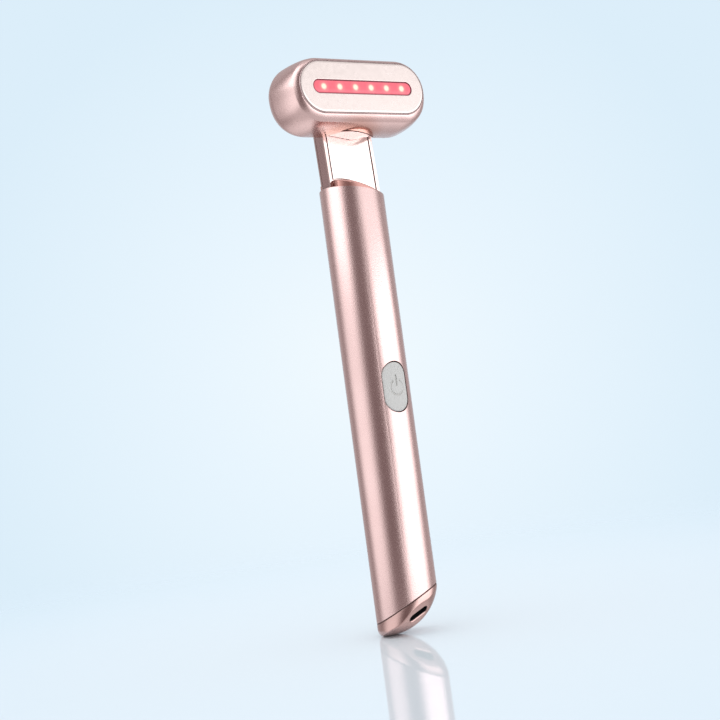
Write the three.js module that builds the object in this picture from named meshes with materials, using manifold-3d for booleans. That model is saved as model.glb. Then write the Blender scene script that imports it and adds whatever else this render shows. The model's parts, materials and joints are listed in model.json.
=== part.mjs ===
// Microcurrent eye wand: a round metal handle, a canted neck that swivels in the handle's mouth,
// and a bar-shaped treatment head with a contact plate, a red light window and a vibration motor.
// Millimetres, +Z up the handle, front (button and plate) towards -Y.
import * as THREE from 'three';
import { mergeVertices } from 'three/addons/utils/BufferGeometryUtils.js';
import Module from 'manifold-3d';

const wasm = await Module();
wasm.setup();

// Clearances shared by all pieces
const runningGap = 0.3;
const seatGap = 0.2;
const faceGap = 0.05;
const overcut = 1;
const reach = 200;

// Handle tube
const handleRadius = 9.5;
const handleWall = 0.9;
const handleLength = 121.8;
const rimFall = 0.2;
const mouthWall = 0.3;
const mouthDepth = 9;
const handleFacets = 64;
const fineFacets = 48;
const plainFacets = 32;

// Tail: the seam plane, the domed end and its round lower corner
const tailHeight = 8.5;
const seamRise = 0.517;
const seamBearing = THREE.MathUtils.degToRad(48.8);
const seamGap = 0.3;
const gasketWidth = 0.75;
const tailDomeRadius = 16;
const tailDomeShift = 6.14;
const tailDomeLift = 7.43;
const tailCornerRadius = 2;
const tailWall = 1.6;
const spigotWall = 0.9;
const spigotLength = 3.5;

// Charging port in a flat on the front of the tail
const portBearing = THREE.MathUtils.degToRad(10.5);
const portTilt = THREE.MathUtils.degToRad(37.9);
const portSide = -0.94;
const portForward = 6.66;
const portDrop = 2.75;
const portWidth = 6.9;
const portHeight = 2.1;
const socketWidth = 7.5;
const socketHeight = 2.7;
const socketLength = 5.6;
const socketWall = 0.3;
const tongueWidth = 5.2;
const tongueThickness = 0.6;
const tongueBase = 1.2;
const tongueBaseThickness = 1.5;
const tongueSetback = 0.8;
const sleeveWall = 0.9;
const sleeveLength = 3.6;
const portBoardWidth = 9;
const portBoardLength = 5;
const portBoardThickness = 0.8;

// Power button and the switch behind it
const buttonHeight = 71.8;
const buttonLength = 14.5;
const buttonWidth = 8;
const buttonProud = 0.1;
const buttonTravel = 0.5;
const buttonTabDepth = 1;
const buttonTabLength = 1.8;
const buttonTabWidth = 6;
const iconRadius = 2.05;
const iconLine = 0.5;
const iconDepth = 0.25;
const iconBarLength = 2.2;
const iconOpening = 0.28 * Math.PI / 2;
const switchSize = 6.2;
const switchDepth = 2.4;
const switchWall = 0.4;
const plungerRadius = 1.5;

// Carrier, board and cell inside the handle
const carrierRise = 8.5;
const carrierDrop = 30.3;
const carrierWall = 0.5;
const boardSetback = 5.7;
const boardThickness = 1;
const boardSideGap = 0.66;
const bulkheadThickness = 3;
const cellGap = 0.35;
const cellLength = 44;
const cellRise = 5.4;
const cellEdge = 0.4;
const cellTipRadius = 2;
const cellTipHeight = 0.7;
const wireRadius = 0.5;
const boardScrewRadius = 0.7;
const boardScrewHead = 1.3;
const boardScrewTip = 2.4;
const screwSlot = 0.4;
const chipThickness = 0.9;
const controlChipSize = 5;
const controlChipSide = -2.8;
const controlChipRise = 6.6;
const chargeChipSize = 3;
const chargeChipSide = -2.6;
const chargeChipRise = 17;
const capacitorSize = [1.6, 3.2, 1.3];
const capacitorSide = 3.2;
const capacitorRise = 28;
const coilRadius = 2.6;
const coilDepth = 2.2;
const coilRise = 37;
const leadSocketSize = [4.4, 6, 2];
const leadSocketSide = 3.3;

// Swivel: bush in the handle, spindle on the neck
const collarDepth = 7.7;
const collarThickness = 1.5;
const trimProud = 0.2;
const trimCrown = 2.9;
const spindleRadius = 5;
const spindleBottom = 24.4;
const bushFlange = 1;
const bushBottom = 20;
const bushGap = 0.25;
const stopHeight = 2.7;
const stopSweep = THREE.MathUtils.degToRad(160);
const stopRim = 0.5;
const stopPinRadius = 0.6;
const stopPinDrop = 21.4;
const clipTop = 23;
const clipThickness = 0.6;
const clipWidth = 2;
const clipBite = 0.6;
const ringSection = 0.65;
const ringDrop = 14;

// Neck
const cant = THREE.MathUtils.degToRad(2.6);
const neckHalfDepth = 2.45;
const neckCornerGap = 0.15;
const neckTopDrop = 9.3;
const neckFootInset = 0.4;
const neckFootHeight = 2.3;
const neckFlangeLift = 0.35;
const panelStile = 0.95;
const panelRail = 0.35;
const panelGap = 0.35;
const panelRecess = 0.55;
const panelThickness = 0.35;
const sidePanelStile = 0.65;
const neckBore = 1.35;
const spigotRadius = 3;
const spigotDrop = 5.3;
const nutRadius = 4.6;
const nutHeight = 1.5;

// Treatment head, measured from the rim centre up the canted neck
const headHeight = 28.3;
const faceReach = 14.42;
const plateHalfLength = 21.65;
const plateHalfHeight = 7.55;
const plateThickness = 1;
const plateChamfer = 0.3;
const windowHalfLength = 17.55;
const windowHalfHeight = 2.1;
const windowSink = 0.12;
const windowFlange = 0.95;
const windowFlangeThickness = 0.6;
const windowGap = 0.15;
const lipWidth = 0.65;
const lipBevel = 0.55;
const lipSink = 0.25;
const lipGap = 0.1;
const trayStep = 1.6;
const boardDepth = 3.4;
const trayInset = 1.05;
const headDepth = 22;
const crownDepth = 12.3;
const endBulge = 2.82;
const topBulge = 2.36;
const bottomBulge = 3.88;
const frontFullness = 2.24;
const backFullness = 1.5;
const headWall = 1.5;
const shellFront = 0.95;
const sectionPoints = 44;
const lowerCorner = 0.35;
const bossDrop = 12.1;
const bossFall = 0.16;
const bossShoulderDrop = 9.8;
const bossTopDrop = 2.3;
const skirtWall = 0.8;
const padDrop = 7.3;
const padHalfLength = 12;

// Light row
const ledCount = 6;
const ledPitch = 5.54;
const ledWidth = 2.2;
const ledHeight = 1.8;
const ledDepth = 0.9;
const ledBoardThickness = 0.8;
const ledBoardHalfLength = 20.5;
const ledBoardHalfHeight = 5.8;
const headScrewPlace = 19.75;
const headScrewRadius = 0.5;
const headScrewHead = 1;
const headScrewHeadHeight = 0.65;
const headScrewTip = 2;
const contactPinRadius = 0.6;
const contactPinHeight = 4.9;

// Vibration motor
const motorRadius = 3.5;
const motorLength = 11;
const motorEnd = 3.4;
const motorDepth = 12.4;
const shaftRadius = 0.5;
const shaftReach = 4;
const weightRadius = 2.8;
const weightLength = 2.8;
const cradleLength = 7;
const cradleHalfDepth = 4;
const cradleSeat = 0.6;
const padBackReach = 3;
const canBore = 3;
const shaftTail = 2.7;
const weightGap = 0.6;
const weightHub = 1.3;

// Lead between head and handle
const leadRadius = 0.85;
const leadTopDrop = 4.1;
const leadBend = 12;

// Places that follow from the sizes above
const rimHeight = tailHeight + handleLength;
const boreRadius = handleRadius - handleWall;
const mouthRadius = handleRadius - mouthWall;
const collarRadius = mouthRadius - runningGap;
const buttonBackFace = boreRadius - runningGap - buttonTabDepth;
const carrierBottom = tailHeight + carrierRise;
const carrierTop = rimHeight - carrierDrop;
const carrierOuter = boreRadius - runningGap;
const carrierInner = carrierOuter - carrierWall;
const boardBack = boreRadius - boardSetback;
const boardFront = boardBack + boardThickness;
const boardHalfWidth = Math.sqrt(boreRadius ** 2 - boardFront ** 2) - boardSideGap;
const cellRadius = (carrierInner + boardBack) / 2 - cellGap;
const cellBack = (carrierInner - boardBack) / 2;
const cellBottom = carrierBottom + cellRise;
const neckHalfWidth = Math.sqrt((mouthRadius - neckCornerGap) ** 2 - neckHalfDepth ** 2);
const panelHalfWidth = neckHalfWidth - panelStile;
const sidePanelHalfWidth = neckHalfDepth - sidePanelStile;
const neckTop = headHeight - neckTopDrop;
const neckSpigotTop = headHeight - spigotDrop;
const bossRadius = mouthRadius;
const bossHeight = headHeight - bossDrop;
const bossShoulder = headHeight - bossShoulderDrop;
const bossTop = headHeight - bossTopDrop;
const neckFlangeRadius = bossRadius - skirtWall - runningGap;
const padTop = headHeight - padDrop;
const leadTop = headHeight - leadTopDrop;
const seamUp = new THREE.Vector3(
  -seamRise * Math.sin(seamBearing), seamRise * Math.cos(seamBearing), 1).normalize();
const rimUp = new THREE.Vector3(rimFall, 0, 1).normalize();
const bossUp = new THREE.Vector3(bossFall, 0, 1).normalize();
const seamCentre = new THREE.Vector3(0, 0, tailHeight);
const rimCentre = new THREE.Vector3(0, 0, rimHeight);
const bossCentre = new THREE.Vector3(0, 0, bossHeight);
const headFrame = new THREE.Matrix4().makeRotationX(-cant).setPosition(rimCentre);
const intoHead = headFrame.clone().invert();
const depthY = (depth) => depth - faceReach;
const motorY = depthY(motorDepth);

// Materials
const finish = (color, roughness, metalness) =>
  new THREE.MeshStandardMaterial({ color, roughness, metalness });
const satinRose = finish(0xd9aba6, 0.38, 1);
const tailRose = finish(0xcf9389, 0.34, 1);
const copperRose = finish(0xd99a8c, 0.2, 1);
const polishedRose = finish(0xf0cfc8, 0.12, 1);
const plateRose = finish(0xf6dcd5, 0.16, 1);
const insulatorRose = finish(0x8d6263, 0.35, 0.2);
const redWindow = finish(0xf06a78, 0.2, 0);
const ledWhite = finish(0xfff0d8, 0.4, 0);
const buttonGrey = finish(0xcfcdca, 0.55, 0);
const blackRubber = finish(0x1d1b1c, 0.8, 0);
const blackPlastic = finish(0x202022, 0.5, 0);
const whitePlastic = finish(0xe6e3de, 0.5, 0);
const boardGreen = finish(0x1e5a3a, 0.45, 0);
const steel = finish(0xb9bcc0, 0.3, 1);
const brass = finish(0xc9a24a, 0.35, 1);
const copper = finish(0xb26a3c, 0.4, 1);
const cellBlue = finish(0x35589a, 0.4, 0);
const wireRed = finish(0xb3261e, 0.5, 0);
const wireBlack = finish(0x161616, 0.5, 0);

// A closed solid from a geometry: only positions, shared vertices, no empty triangles
function solid(geometry) {
  geometry.deleteAttribute('normal');
  geometry.deleteAttribute('uv');
  const merged = mergeVertices(geometry, 1e-5);
  const corners = [];
  const index = merged.index.array;
  for (let i = 0; i < index.length; i += 3) {
    const [a, b, c] = [index[i], index[i + 1], index[i + 2]];
    if (a !== b && b !== c && c !== a) corners.push(a, b, c);
  }
  return new wasm.Manifold(new wasm.Mesh({
    numProp: 3,
    vertProperties: new Float32Array(merged.attributes.position.array),
    triVerts: new Uint32Array(corners),
  }));
}

function mesh(name, body, material) {
  const { vertProperties, triVerts } = body.getMesh();
  const geometry = new THREE.BufferGeometry();
  geometry.setAttribute('position', new THREE.BufferAttribute(vertProperties, 3));
  geometry.setIndex(new THREE.BufferAttribute(triVerts, 1));
  geometry.computeVertexNormals();
  const piece = new THREE.Mesh(geometry, material);
  piece.name = name;
  return piece;
}

// Basic solids, each with its place
const rod = (radius, low, high, facets = plainFacets, x = 0, y = 0) => solid(
  new THREE.CylinderGeometry(radius, radius, high - low, facets)
    .rotateX(Math.PI / 2).translate(x, y, (low + high) / 2));
const rodAlongX = (radius, low, high, y, z, facets = 24) => solid(
  new THREE.CylinderGeometry(radius, radius, high - low, facets)
    .rotateZ(Math.PI / 2).translate((low + high) / 2, y, z));
const rodAlongY = (radius, low, high, x, z, facets = 24) => solid(
  new THREE.CylinderGeometry(radius, radius, high - low, facets).translate(x, (low + high) / 2, z));
const block = (low, high) => solid(
  new THREE.BoxGeometry(high[0] - low[0], high[1] - low[1], high[2] - low[2])
    .translate((low[0] + high[0]) / 2, (low[1] + high[1]) / 2, (low[2] + high[2]) / 2));
const turned = (profile, facets) => solid(
  new THREE.LatheGeometry(profile.map(([r, z]) => new THREE.Vector2(r, z)), facets)
    .rotateX(Math.PI / 2));
const ring = (outer, inner, low, high, facets = fineFacets) =>
  rod(outer, low, high, facets).subtract(rod(inner, low - overcut, high + overcut, facets));

// Everything on the side of a plane that its normal points to
function halfSpace(normal, point) {
  const turn = new THREE.Quaternion().setFromUnitVectors(new THREE.Vector3(0, 0, 1), normal);
  const geometry = new THREE.BoxGeometry(2 * reach, 2 * reach, reach).translate(0, 0, reach / 2);
  geometry.applyQuaternion(turn).translate(point.x, point.y, point.z);
  return solid(geometry);
}
const above = (normal, point, lift = 0) =>
  halfSpace(normal, point.clone().addScaledVector(normal, lift));
const below = (normal, point, lift = 0) =>
  halfSpace(normal.clone().negate(), point.clone().addScaledVector(normal, lift));

// A slot outline with round ends, long along its first axis
function slot(halfLength, halfHeight) {
  const outline = new THREE.Shape();
  const straight = halfLength - halfHeight;
  outline.absarc(straight, 0, halfHeight, -Math.PI / 2, Math.PI / 2);
  outline.absarc(-straight, 0, halfHeight, Math.PI / 2, 1.5 * Math.PI);
  return outline;
}

function extruded(outline, thickness, bevel = 0, curveSegments = 10) {
  return new THREE.ExtrudeGeometry(outline, {
    depth: thickness - bevel,
    bevelEnabled: bevel > 0,
    bevelThickness: bevel,
    bevelSize: bevel,
    bevelOffset: -bevel,
    bevelSegments: 1,
    curveSegments,
  });
}

// An outline drawn in X and Z, run from one depth behind the face plane to another
function faceSlab(halfLength, halfHeight, from, to, bevel = 0) {
  const geometry = extruded(slot(halfLength, halfHeight), to - from, bevel);
  if (bevel > 0) {
    geometry.translate(0, 0, from - to);
    return solid(geometry.rotateX(Math.PI / 2).translate(0, depthY(from), headHeight))
      .subtract(block([-reach, depthY(to), -reach], [reach, reach, reach]));
  }
  return solid(geometry.rotateX(Math.PI / 2).translate(0, depthY(to), headHeight));
}

// A round lead or wire along a smooth curve through points
function lead(points, radius, steps, sides = 8) {
  const outline = new THREE.Shape();
  outline.absarc(0, 0, radius, 0, 2 * Math.PI);
  const path = new THREE.CatmullRomCurve3(points.map(([x, y, z]) => new THREE.Vector3(x, y, z)));
  return solid(new THREE.ExtrudeGeometry(outline, {
    steps, extrudePath: path, curveSegments: sides, bevelEnabled: false,
  }));
}

// Handle tube with its thinned mouth, button slot and the two slanting ends
function makeHandleTube() {
  const buttonSlot = slot(buttonLength / 2 + runningGap, buttonWidth / 2 + runningGap);
  const slotCut = solid(extruded(buttonSlot, 2 * handleRadius, 0, 12)
    .rotateY(Math.PI / 2).rotateZ(-Math.PI / 2)
    .translate(0, 0, buttonHeight));
  return rod(handleRadius, -reach / 2, rimHeight + mouthDepth, handleFacets)
    .subtract(rod(boreRadius, -reach, reach, handleFacets))
    .subtract(rod(mouthRadius, rimHeight - mouthDepth, reach, handleFacets))
    .subtract(slotCut)
    .subtract(above(rimUp, rimCentre))
    .subtract(below(seamUp, seamCentre, seamGap / 2));
}

// Tail cap: dome, flat resting spot, port flat, spigot and the sleeve that holds the socket
const lowSide = new THREE.Vector3(-Math.sin(seamBearing), Math.cos(seamBearing), 0);
const domeCentre = lowSide.clone().multiplyScalar(tailDomeShift)
  .setZ(tailHeight + tailDomeLift);
const portOut = new THREE.Vector3(
  Math.cos(portTilt) * Math.sin(portBearing),
  -Math.cos(portTilt) * Math.cos(portBearing),
  -Math.sin(portTilt));
const portAlong = new THREE.Vector3().crossVectors(seamUp, portOut).normalize();
const portAcross = new THREE.Vector3().crossVectors(portAlong, portOut).normalize();
const portCentre = new THREE.Vector3(portSide, -portForward, tailHeight - portDrop);
// The port's own frame: X along the slot, Y across it, Z inwards from the flat
const portFrame = new THREE.Matrix4()
  .makeBasis(portAlong, portAcross, new THREE.Vector3().crossVectors(portAlong, portAcross))
  .setPosition(portCentre);

function inPort(halfLength, halfHeight, from, to) {
  return solid(extruded(slot(halfLength, halfHeight), to - from)
    .translate(0, 0, from).applyMatrix4(portFrame));
}

const portBlock = (low, high) => block(low, high).transform(portFrame.elements);

function tailSolid(inset) {
  const corner = tailCornerRadius;
  const radius = handleRadius;
  const profile = [[0, 0]];
  for (let step = 0; step <= 5; step += 1) {
    const angle = (step / 5) * Math.PI / 2;
    profile.push([radius - corner + corner * Math.sin(angle), corner - corner * Math.cos(angle)]);
  }
  profile.push([radius, 2 * tailHeight + handleRadius], [0, 2 * tailHeight + handleRadius]);
  const cup = inset > 0
    ? rod(carrierOuter - spigotWall, inset, 3 * tailHeight, handleFacets)
    : turned(profile, handleFacets);
  const facets = inset > 0 ? plainFacets : handleFacets;
  const dome = solid(new THREE.SphereGeometry(tailDomeRadius - inset, facets, facets / 2)
    .rotateX(Math.PI / 2)
    .translate(domeCentre.x, domeCentre.y, domeCentre.z));
  const upper = halfSpace(new THREE.Vector3(0, 0, 1), domeCentre);
  return cup.intersect(dome.add(upper))
    .subtract(halfSpace(portOut, portCentre.clone().addScaledVector(portOut, -inset)));
}

function makeTailCap() {
  const sleeveStart = tailWall - overcut;
  const sleeve = portBlock(
    [-socketWidth / 2 - sleeveWall, -socketHeight / 2 - sleeveWall, sleeveStart],
    [socketWidth / 2 + sleeveWall, socketHeight / 2 + sleeveWall, tailWall + sleeveLength])
    .intersect(tailSolid(0).subtract(above(seamUp, seamCentre, -seamGap)));
  const spigot = ring(carrierOuter, carrierOuter - spigotWall, 0, rimHeight / 2, handleFacets)
    .subtract(above(seamUp, seamCentre, spigotLength))
    .subtract(below(seamUp, seamCentre, -overcut));
  return tailSolid(0)
    .subtract(above(seamUp, seamCentre, -seamGap / 2))
    .subtract(tailSolid(tailWall))
    .add(spigot)
    .add(sleeve)
    .subtract(inPort(socketWidth / 2 + seatGap, socketHeight / 2 + seatGap,
      tailWall, tailWall + socketLength + overcut))
    .subtract(inPort(portWidth / 2, portHeight / 2, -overcut, tailWall + overcut));
}

function makeTailGasket() {
  const half = seamGap / 2 - faceGap;
  return ring(handleRadius - faceGap, handleRadius - gasketWidth, 0, rimHeight / 2, handleFacets)
    .subtract(above(seamUp, seamCentre, half))
    .subtract(below(seamUp, seamCentre, -half));
}

// Charging socket: metal shell, contact tongue, small board
const socketFrom = tailWall + seatGap;
const socketTo = socketFrom + socketLength;

function makeSocketShell() {
  return inPort(socketWidth / 2, socketHeight / 2, socketFrom, socketTo)
    .subtract(inPort(socketWidth / 2 - socketWall, socketHeight / 2 - socketWall,
      socketFrom - overcut, socketTo - socketWall));
}

function makeSocketTongue() {
  const baseTo = socketTo - socketWall - seatGap;
  const base = portBlock([-tongueWidth / 2, -tongueBaseThickness / 2, baseTo - tongueBase],
    [tongueWidth / 2, tongueBaseThickness / 2, baseTo]);
  return base.add(portBlock([-tongueWidth / 2, -tongueThickness / 2, socketFrom + tongueSetback],
    [tongueWidth / 2, tongueThickness / 2, baseTo - tongueBase / 2]));
}

const portBoardFrom = tailWall + sleeveLength + runningGap;
const portBoardLift = socketHeight / 2 + seatGap;

function makePortBoard() {
  return portBlock([-portBoardWidth / 2, portBoardLift, portBoardFrom],
    [portBoardWidth / 2, portBoardLift + portBoardThickness, portBoardFrom + portBoardLength]);
}

const tailGroup = new THREE.Group();
tailGroup.add(
  mesh('tail_cap', makeTailCap(), tailRose),
  mesh('tail_gasket', makeTailGasket(), blackRubber),
  mesh('usb_shell', makeSocketShell(), steel),
  mesh('usb_tongue', makeSocketTongue(), blackPlastic),
  mesh('usb_board', makePortBoard(), boardGreen),
);

// Power button: a cap that follows the tube, end tabs under the wall, an engraved power symbol
function makePowerButton() {
  const cap = solid(extruded(slot(buttonLength / 2, buttonWidth / 2), handleRadius, 0, 12)
    .rotateY(Math.PI / 2).rotateZ(-Math.PI / 2)
    .translate(0, -buttonBackFace, buttonHeight))
    .intersect(rod(handleRadius + buttonProud, buttonHeight - buttonLength,
      buttonHeight + buttonLength, handleFacets));
  const tabs = block(
    [-buttonTabWidth / 2, -handleRadius, buttonHeight - buttonLength / 2 - buttonTabLength],
    [buttonTabWidth / 2, -buttonBackFace, buttonHeight + buttonLength / 2 + buttonTabLength])
    .intersect(rod(carrierOuter, 0, rimHeight, handleFacets));
  const floor = handleRadius + buttonProud - iconDepth;
  const arc = new THREE.Shape();
  arc.absarc(0, 0, iconRadius + iconLine / 2, Math.PI / 2 + iconOpening, 2.5 * Math.PI - iconOpening);
  arc.absarc(0, 0, iconRadius - iconLine / 2, 2.5 * Math.PI - iconOpening,
    Math.PI / 2 + iconOpening, true);
  const groove = solid(extruded(arc, overcut + iconDepth, 0, 14)
    .rotateX(Math.PI / 2).translate(0, -floor, buttonHeight));
  const bar = block([-iconLine / 2, -floor - overcut, buttonHeight + iconRadius / 3],
    [iconLine / 2, -floor, buttonHeight + iconRadius / 3 + iconBarLength]);
  return cap.add(tabs).subtract(groove).subtract(bar);
}

function makeSwitch() {
  const body = block([-switchSize / 2, -boardFront - switchDepth, buttonHeight - switchSize / 2],
    [switchSize / 2, -boardFront, buttonHeight + switchSize / 2]);
  const well = rodAlongY(plungerRadius + runningGap, -handleRadius,
    -boardFront - switchWall, 0, buttonHeight);
  const plunger = rodAlongY(plungerRadius, -buttonBackFace + faceGap,
    -boardFront - switchWall - buttonTravel - runningGap, 0, buttonHeight);
  return { body: body.subtract(well), plunger };
}

// Board, its parts, the cell and the carrier that holds them
const bulkheadLow = carrierBottom + bulkheadThickness;
const cellTop = cellBottom + cellLength;
const middleBulkhead = cellTop + cellTipHeight + 1.8;
const middleBulkheadThickness = 1.2;

function makeCarrier() {
  const behindBoard = block([-reach, -boardBack, -reach], [reach, reach, reach]);
  const trough = ring(carrierOuter, carrierInner, carrierBottom, carrierTop, handleFacets);
  const bulkheads = [
    [carrierBottom, bulkheadLow],
    [middleBulkhead, middleBulkhead + middleBulkheadThickness],
    [carrierTop - bulkheadThickness, carrierTop],
  ].map(([low, high]) => rod(carrierOuter, low, high, handleFacets));
  return bulkheads.reduce((body, wall) => body.add(wall), trough)
    .intersect(behindBoard)
    .subtract(boardScrewHoles());
}

const screwHeights = [carrierBottom + bulkheadThickness / 2, carrierTop - bulkheadThickness / 2];

function boardScrewHoles() {
  return screwHeights
    .map((z) => rodAlongY(boardScrewRadius + seatGap, -boardFront - overcut,
      boardScrewTip + runningGap, 0, z, 16))
    .reduce((all, hole) => all.add(hole));
}

function makeBoardScrew(z) {
  const headTop = -boardFront - faceGap - boardScrewRadius;
  return rodAlongY(boardScrewRadius, -boardFront - faceGap, boardScrewTip, 0, z, 16)
    .add(rodAlongY(boardScrewHead, headTop, -boardFront - faceGap / 2, 0, z, 16))
    .subtract(block([-screwSlot / 2, headTop - overcut, z - boardScrewRadius],
      [screwSlot / 2, headTop + boardScrewRadius / 2, z + boardScrewRadius]));
}

const onBoard = (x, z, [width, height, depth]) => block(
  [x - width / 2, -boardFront - depth, z - height / 2],
  [x + width / 2, -boardFront, z + height / 2]);

function makeCell() {
  const shoulder = cellRadius - cellEdge;
  return turned([
    [0, cellBottom], [shoulder, cellBottom], [cellRadius, cellBottom + cellEdge],
    [cellRadius, cellTop - cellEdge], [shoulder, cellTop], [cellTipRadius, cellTop],
    [cellTipRadius, cellTop + cellTipHeight], [0, cellTop + cellTipHeight],
  ], plainFacets).translate([0, cellBack, 0]);
}

const wireEnd = -boardBack + runningGap;
const wireSide = 3.4;
const wireStart = [0, cellBack - 0.6];
const wireBend = [1.4, cellBack - 1.6];
const redHeight = cellTop + cellTipHeight + 0.9;
const redWire = [
  [...wireStart, cellTop + cellTipHeight + runningGap + wireRadius],
  [...wireBend, redHeight],
  [wireSide, 0, redHeight],
  [wireSide, wireEnd, redHeight],
];
const blackHeight = cellBottom - 1;
const blackWire = [
  [...wireStart, cellBottom - runningGap - wireRadius],
  [-wireBend[0], wireBend[1], blackHeight],
  [-wireSide, 0, blackHeight],
  [-wireSide, wireEnd, blackHeight],
];

const { body: switchBody, plunger } = makeSwitch();
const mainBoard = block([-boardHalfWidth, -boardFront, carrierBottom],
  [boardHalfWidth, -boardBack, carrierTop]).subtract(boardScrewHoles());
const leadSocketTop = carrierTop - bulkheadThickness - runningGap;
const controlChip = onBoard(controlChipSide, buttonHeight + controlChipRise,
  [controlChipSize, controlChipSize, chipThickness]);
const chargeChip = onBoard(chargeChipSide, carrierBottom + chargeChipRise,
  [chargeChipSize, chargeChipSize, chipThickness]);
const coil = rodAlongY(coilRadius, -boardFront - coilDepth, -boardFront, 0,
  carrierBottom + coilRise);
const capacitor = (side) => onBoard(side * capacitorSide, carrierBottom + capacitorRise,
  capacitorSize);

const handleGroup = new THREE.Group();
handleGroup.add(
  mesh('handle_tube', makeHandleTube(), satinRose),
  mesh('power_button', makePowerButton(), buttonGrey),
  mesh('switch_body', switchBody, blackPlastic),
  mesh('switch_plunger', plunger, whitePlastic),
  mesh('inner_carrier', makeCarrier(), whitePlastic),
  mesh('main_board', mainBoard, boardGreen),
  mesh('control_chip', controlChip, blackPlastic),
  mesh('charge_chip', chargeChip, blackPlastic),
  mesh('boost_coil', coil, copper),
  mesh('capacitor_1', capacitor(-1), brass),
  mesh('capacitor_2', capacitor(1), brass),
  mesh('lead_socket', onBoard(leadSocketSide, leadSocketTop - leadSocketSize[1] / 2,
    leadSocketSize), whitePlastic),
  mesh('battery_cell', makeCell(), cellBlue),
  mesh('battery_wire_red', lead(redWire, wireRadius, 12, 6), wireRed),
  mesh('battery_wire_black', lead(blackWire, wireRadius, 12, 6), wireBlack),
  mesh('board_screw_lower', makeBoardScrew(screwHeights[0]), steel),
  mesh('board_screw_upper', makeBoardScrew(screwHeights[1]), steel),
);

// Swivel bush with its flange, seal groove and the stop that limits the turn
const bushInner = spindleRadius + bushGap;
const bushOuter = boreRadius - bushGap;
const stopOuter = bushOuter - stopRim;

function stopSector() {
  const outline = new THREE.Shape();
  const start = Math.PI / 2 - stopSweep / 2;
  outline.absarc(0, 0, stopOuter, start, start + stopSweep);
  outline.absarc(0, 0, bushInner, start + stopSweep, start, true);
  return solid(extruded(outline, stopHeight + 0.5, 0, 20)
    .translate(0, 0, rimHeight - bushBottom - stopHeight));
}

function makeBush() {
  const groove = ring(bushInner + 2 * ringSection + bushGap, bushInner - overcut,
    rimHeight - ringDrop - ringSection - seatGap, rimHeight - ringDrop + ringSection + seatGap);
  return rod(bushOuter, rimHeight - bushBottom, rimHeight - mouthDepth, 48)
    .add(rod(mouthRadius - bushGap, rimHeight - mouthDepth + faceGap,
      rimHeight - mouthDepth + bushFlange, 48))
    .add(rod(bushOuter, rimHeight - mouthDepth - overcut,
      rimHeight - mouthDepth + bushFlange, 48))
    .subtract(rod(bushInner, rimHeight - bushBottom - overcut, rimHeight, 48))
    .add(stopSector())
    .subtract(groove);
}

function makeFrictionRing() {
  return solid(new THREE.TorusGeometry(bushInner + ringSection, ringSection, 8, 32)
    .translate(0, 0, rimHeight - ringDrop));
}

function makeClip() {
  const low = rimHeight - clipTop - clipThickness;
  const mouth = block([-spindleRadius / 2, -handleRadius, low - overcut],
    [spindleRadius / 2, 0, low + clipThickness + overcut]);
  return ring(spindleRadius - clipBite + clipWidth, spindleRadius - clipBite + seatGap,
    low, low + clipThickness, 32).subtract(mouth);
}

function makeStopPin() {
  return rodAlongY(stopPinRadius, bushGap + seatGap - stopOuter, -neckBore - seatGap, 0,
    rimHeight - stopPinDrop, 16);
}

handleGroup.add(
  mesh('swivel_bush', makeBush(), whitePlastic),
  mesh('friction_ring', makeFrictionRing(), blackRubber),
);

// Neck: spindle and flange in the handle's mouth, slab with framed panels, spigot for the head
const toHead = (geometrySolid) => geometrySolid.transform(intoHead.elements);

function spindleSolid() {
  const clipLow = rimHeight - clipTop - clipThickness - seatGap;
  const clipHigh = rimHeight - clipTop + seatGap;
  return rod(spindleRadius, rimHeight - spindleBottom, rimHeight - collarDepth + overcut, 48)
    .add(rod(collarRadius, rimHeight - collarDepth, rimHeight - collarDepth + collarThickness, 60))
    .subtract(ring(spindleRadius + overcut, spindleRadius - clipBite, clipLow, clipHigh, 48))
    .subtract(rodAlongY(stopPinRadius + seatGap, -spindleRadius - overcut, 0, 0,
      rimHeight - stopPinDrop, 16));
}

// Half-moon trims on both sides of the slab: domed, and slanted like the handle's rim
const trimHeight = (radius) => trimProud + trimCrown * (1 - (radius / collarRadius) ** 2);

function makeTrim(side) {
  const low = collarThickness + faceGap - collarDepth;
  const profile = [[0, 2 * low], [collarRadius, 2 * low]];
  for (let step = 0; step <= 6; step += 1) {
    const radius = collarRadius * Math.cos((step / 6) * Math.PI / 2);
    profile.push([radius, trimHeight(radius)]);
  }
  profile[profile.length - 1][0] = 0;
  const slant = new THREE.Matrix4().makeShear(0, -rimFall, 0, 0, 0, 0).setPosition(rimCentre);
  const dome = turned(profile, fineFacets).transform(slant.elements)
    .subtract(halfSpace(new THREE.Vector3(0, 0, -1), new THREE.Vector3(0, 0, rimHeight + low)));
  const nearFace = neckHalfDepth + seatGap;
  return toHead(dome).intersect(side < 0
    ? block([-reach, -reach, -reach], [reach, -nearFace, reach])
    : block([-reach, nearFace, -reach], [reach, reach, reach]));
}

const slabTop = bossHeight - neckCornerGap;

// Panel outline: its lower edge follows the domed trim, its upper edge the slanting boss.
// turn is 1 on the front, -1 on the back, where left and right change places.
function frontOutline(turn, inset) {
  const half = panelHalfWidth - inset;
  const trimLine = (x) => trimHeight(Math.hypot(x, neckHalfDepth)) - turn * rimFall * x
    + panelRail + inset;
  const topLine = (x) => slabTop - turn * bossFall * x - panelRail - inset;
  const middle = 2 * trimLine(0) - (trimLine(half) + trimLine(-half)) / 2;
  const outline = new THREE.Shape();
  outline.moveTo(-half, trimLine(-half));
  outline.quadraticCurveTo(0, middle, half, trimLine(half));
  outline.lineTo(half, topLine(half));
  outline.lineTo(-half, topLine(-half));
  outline.closePath();
  return outline;
}

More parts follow.
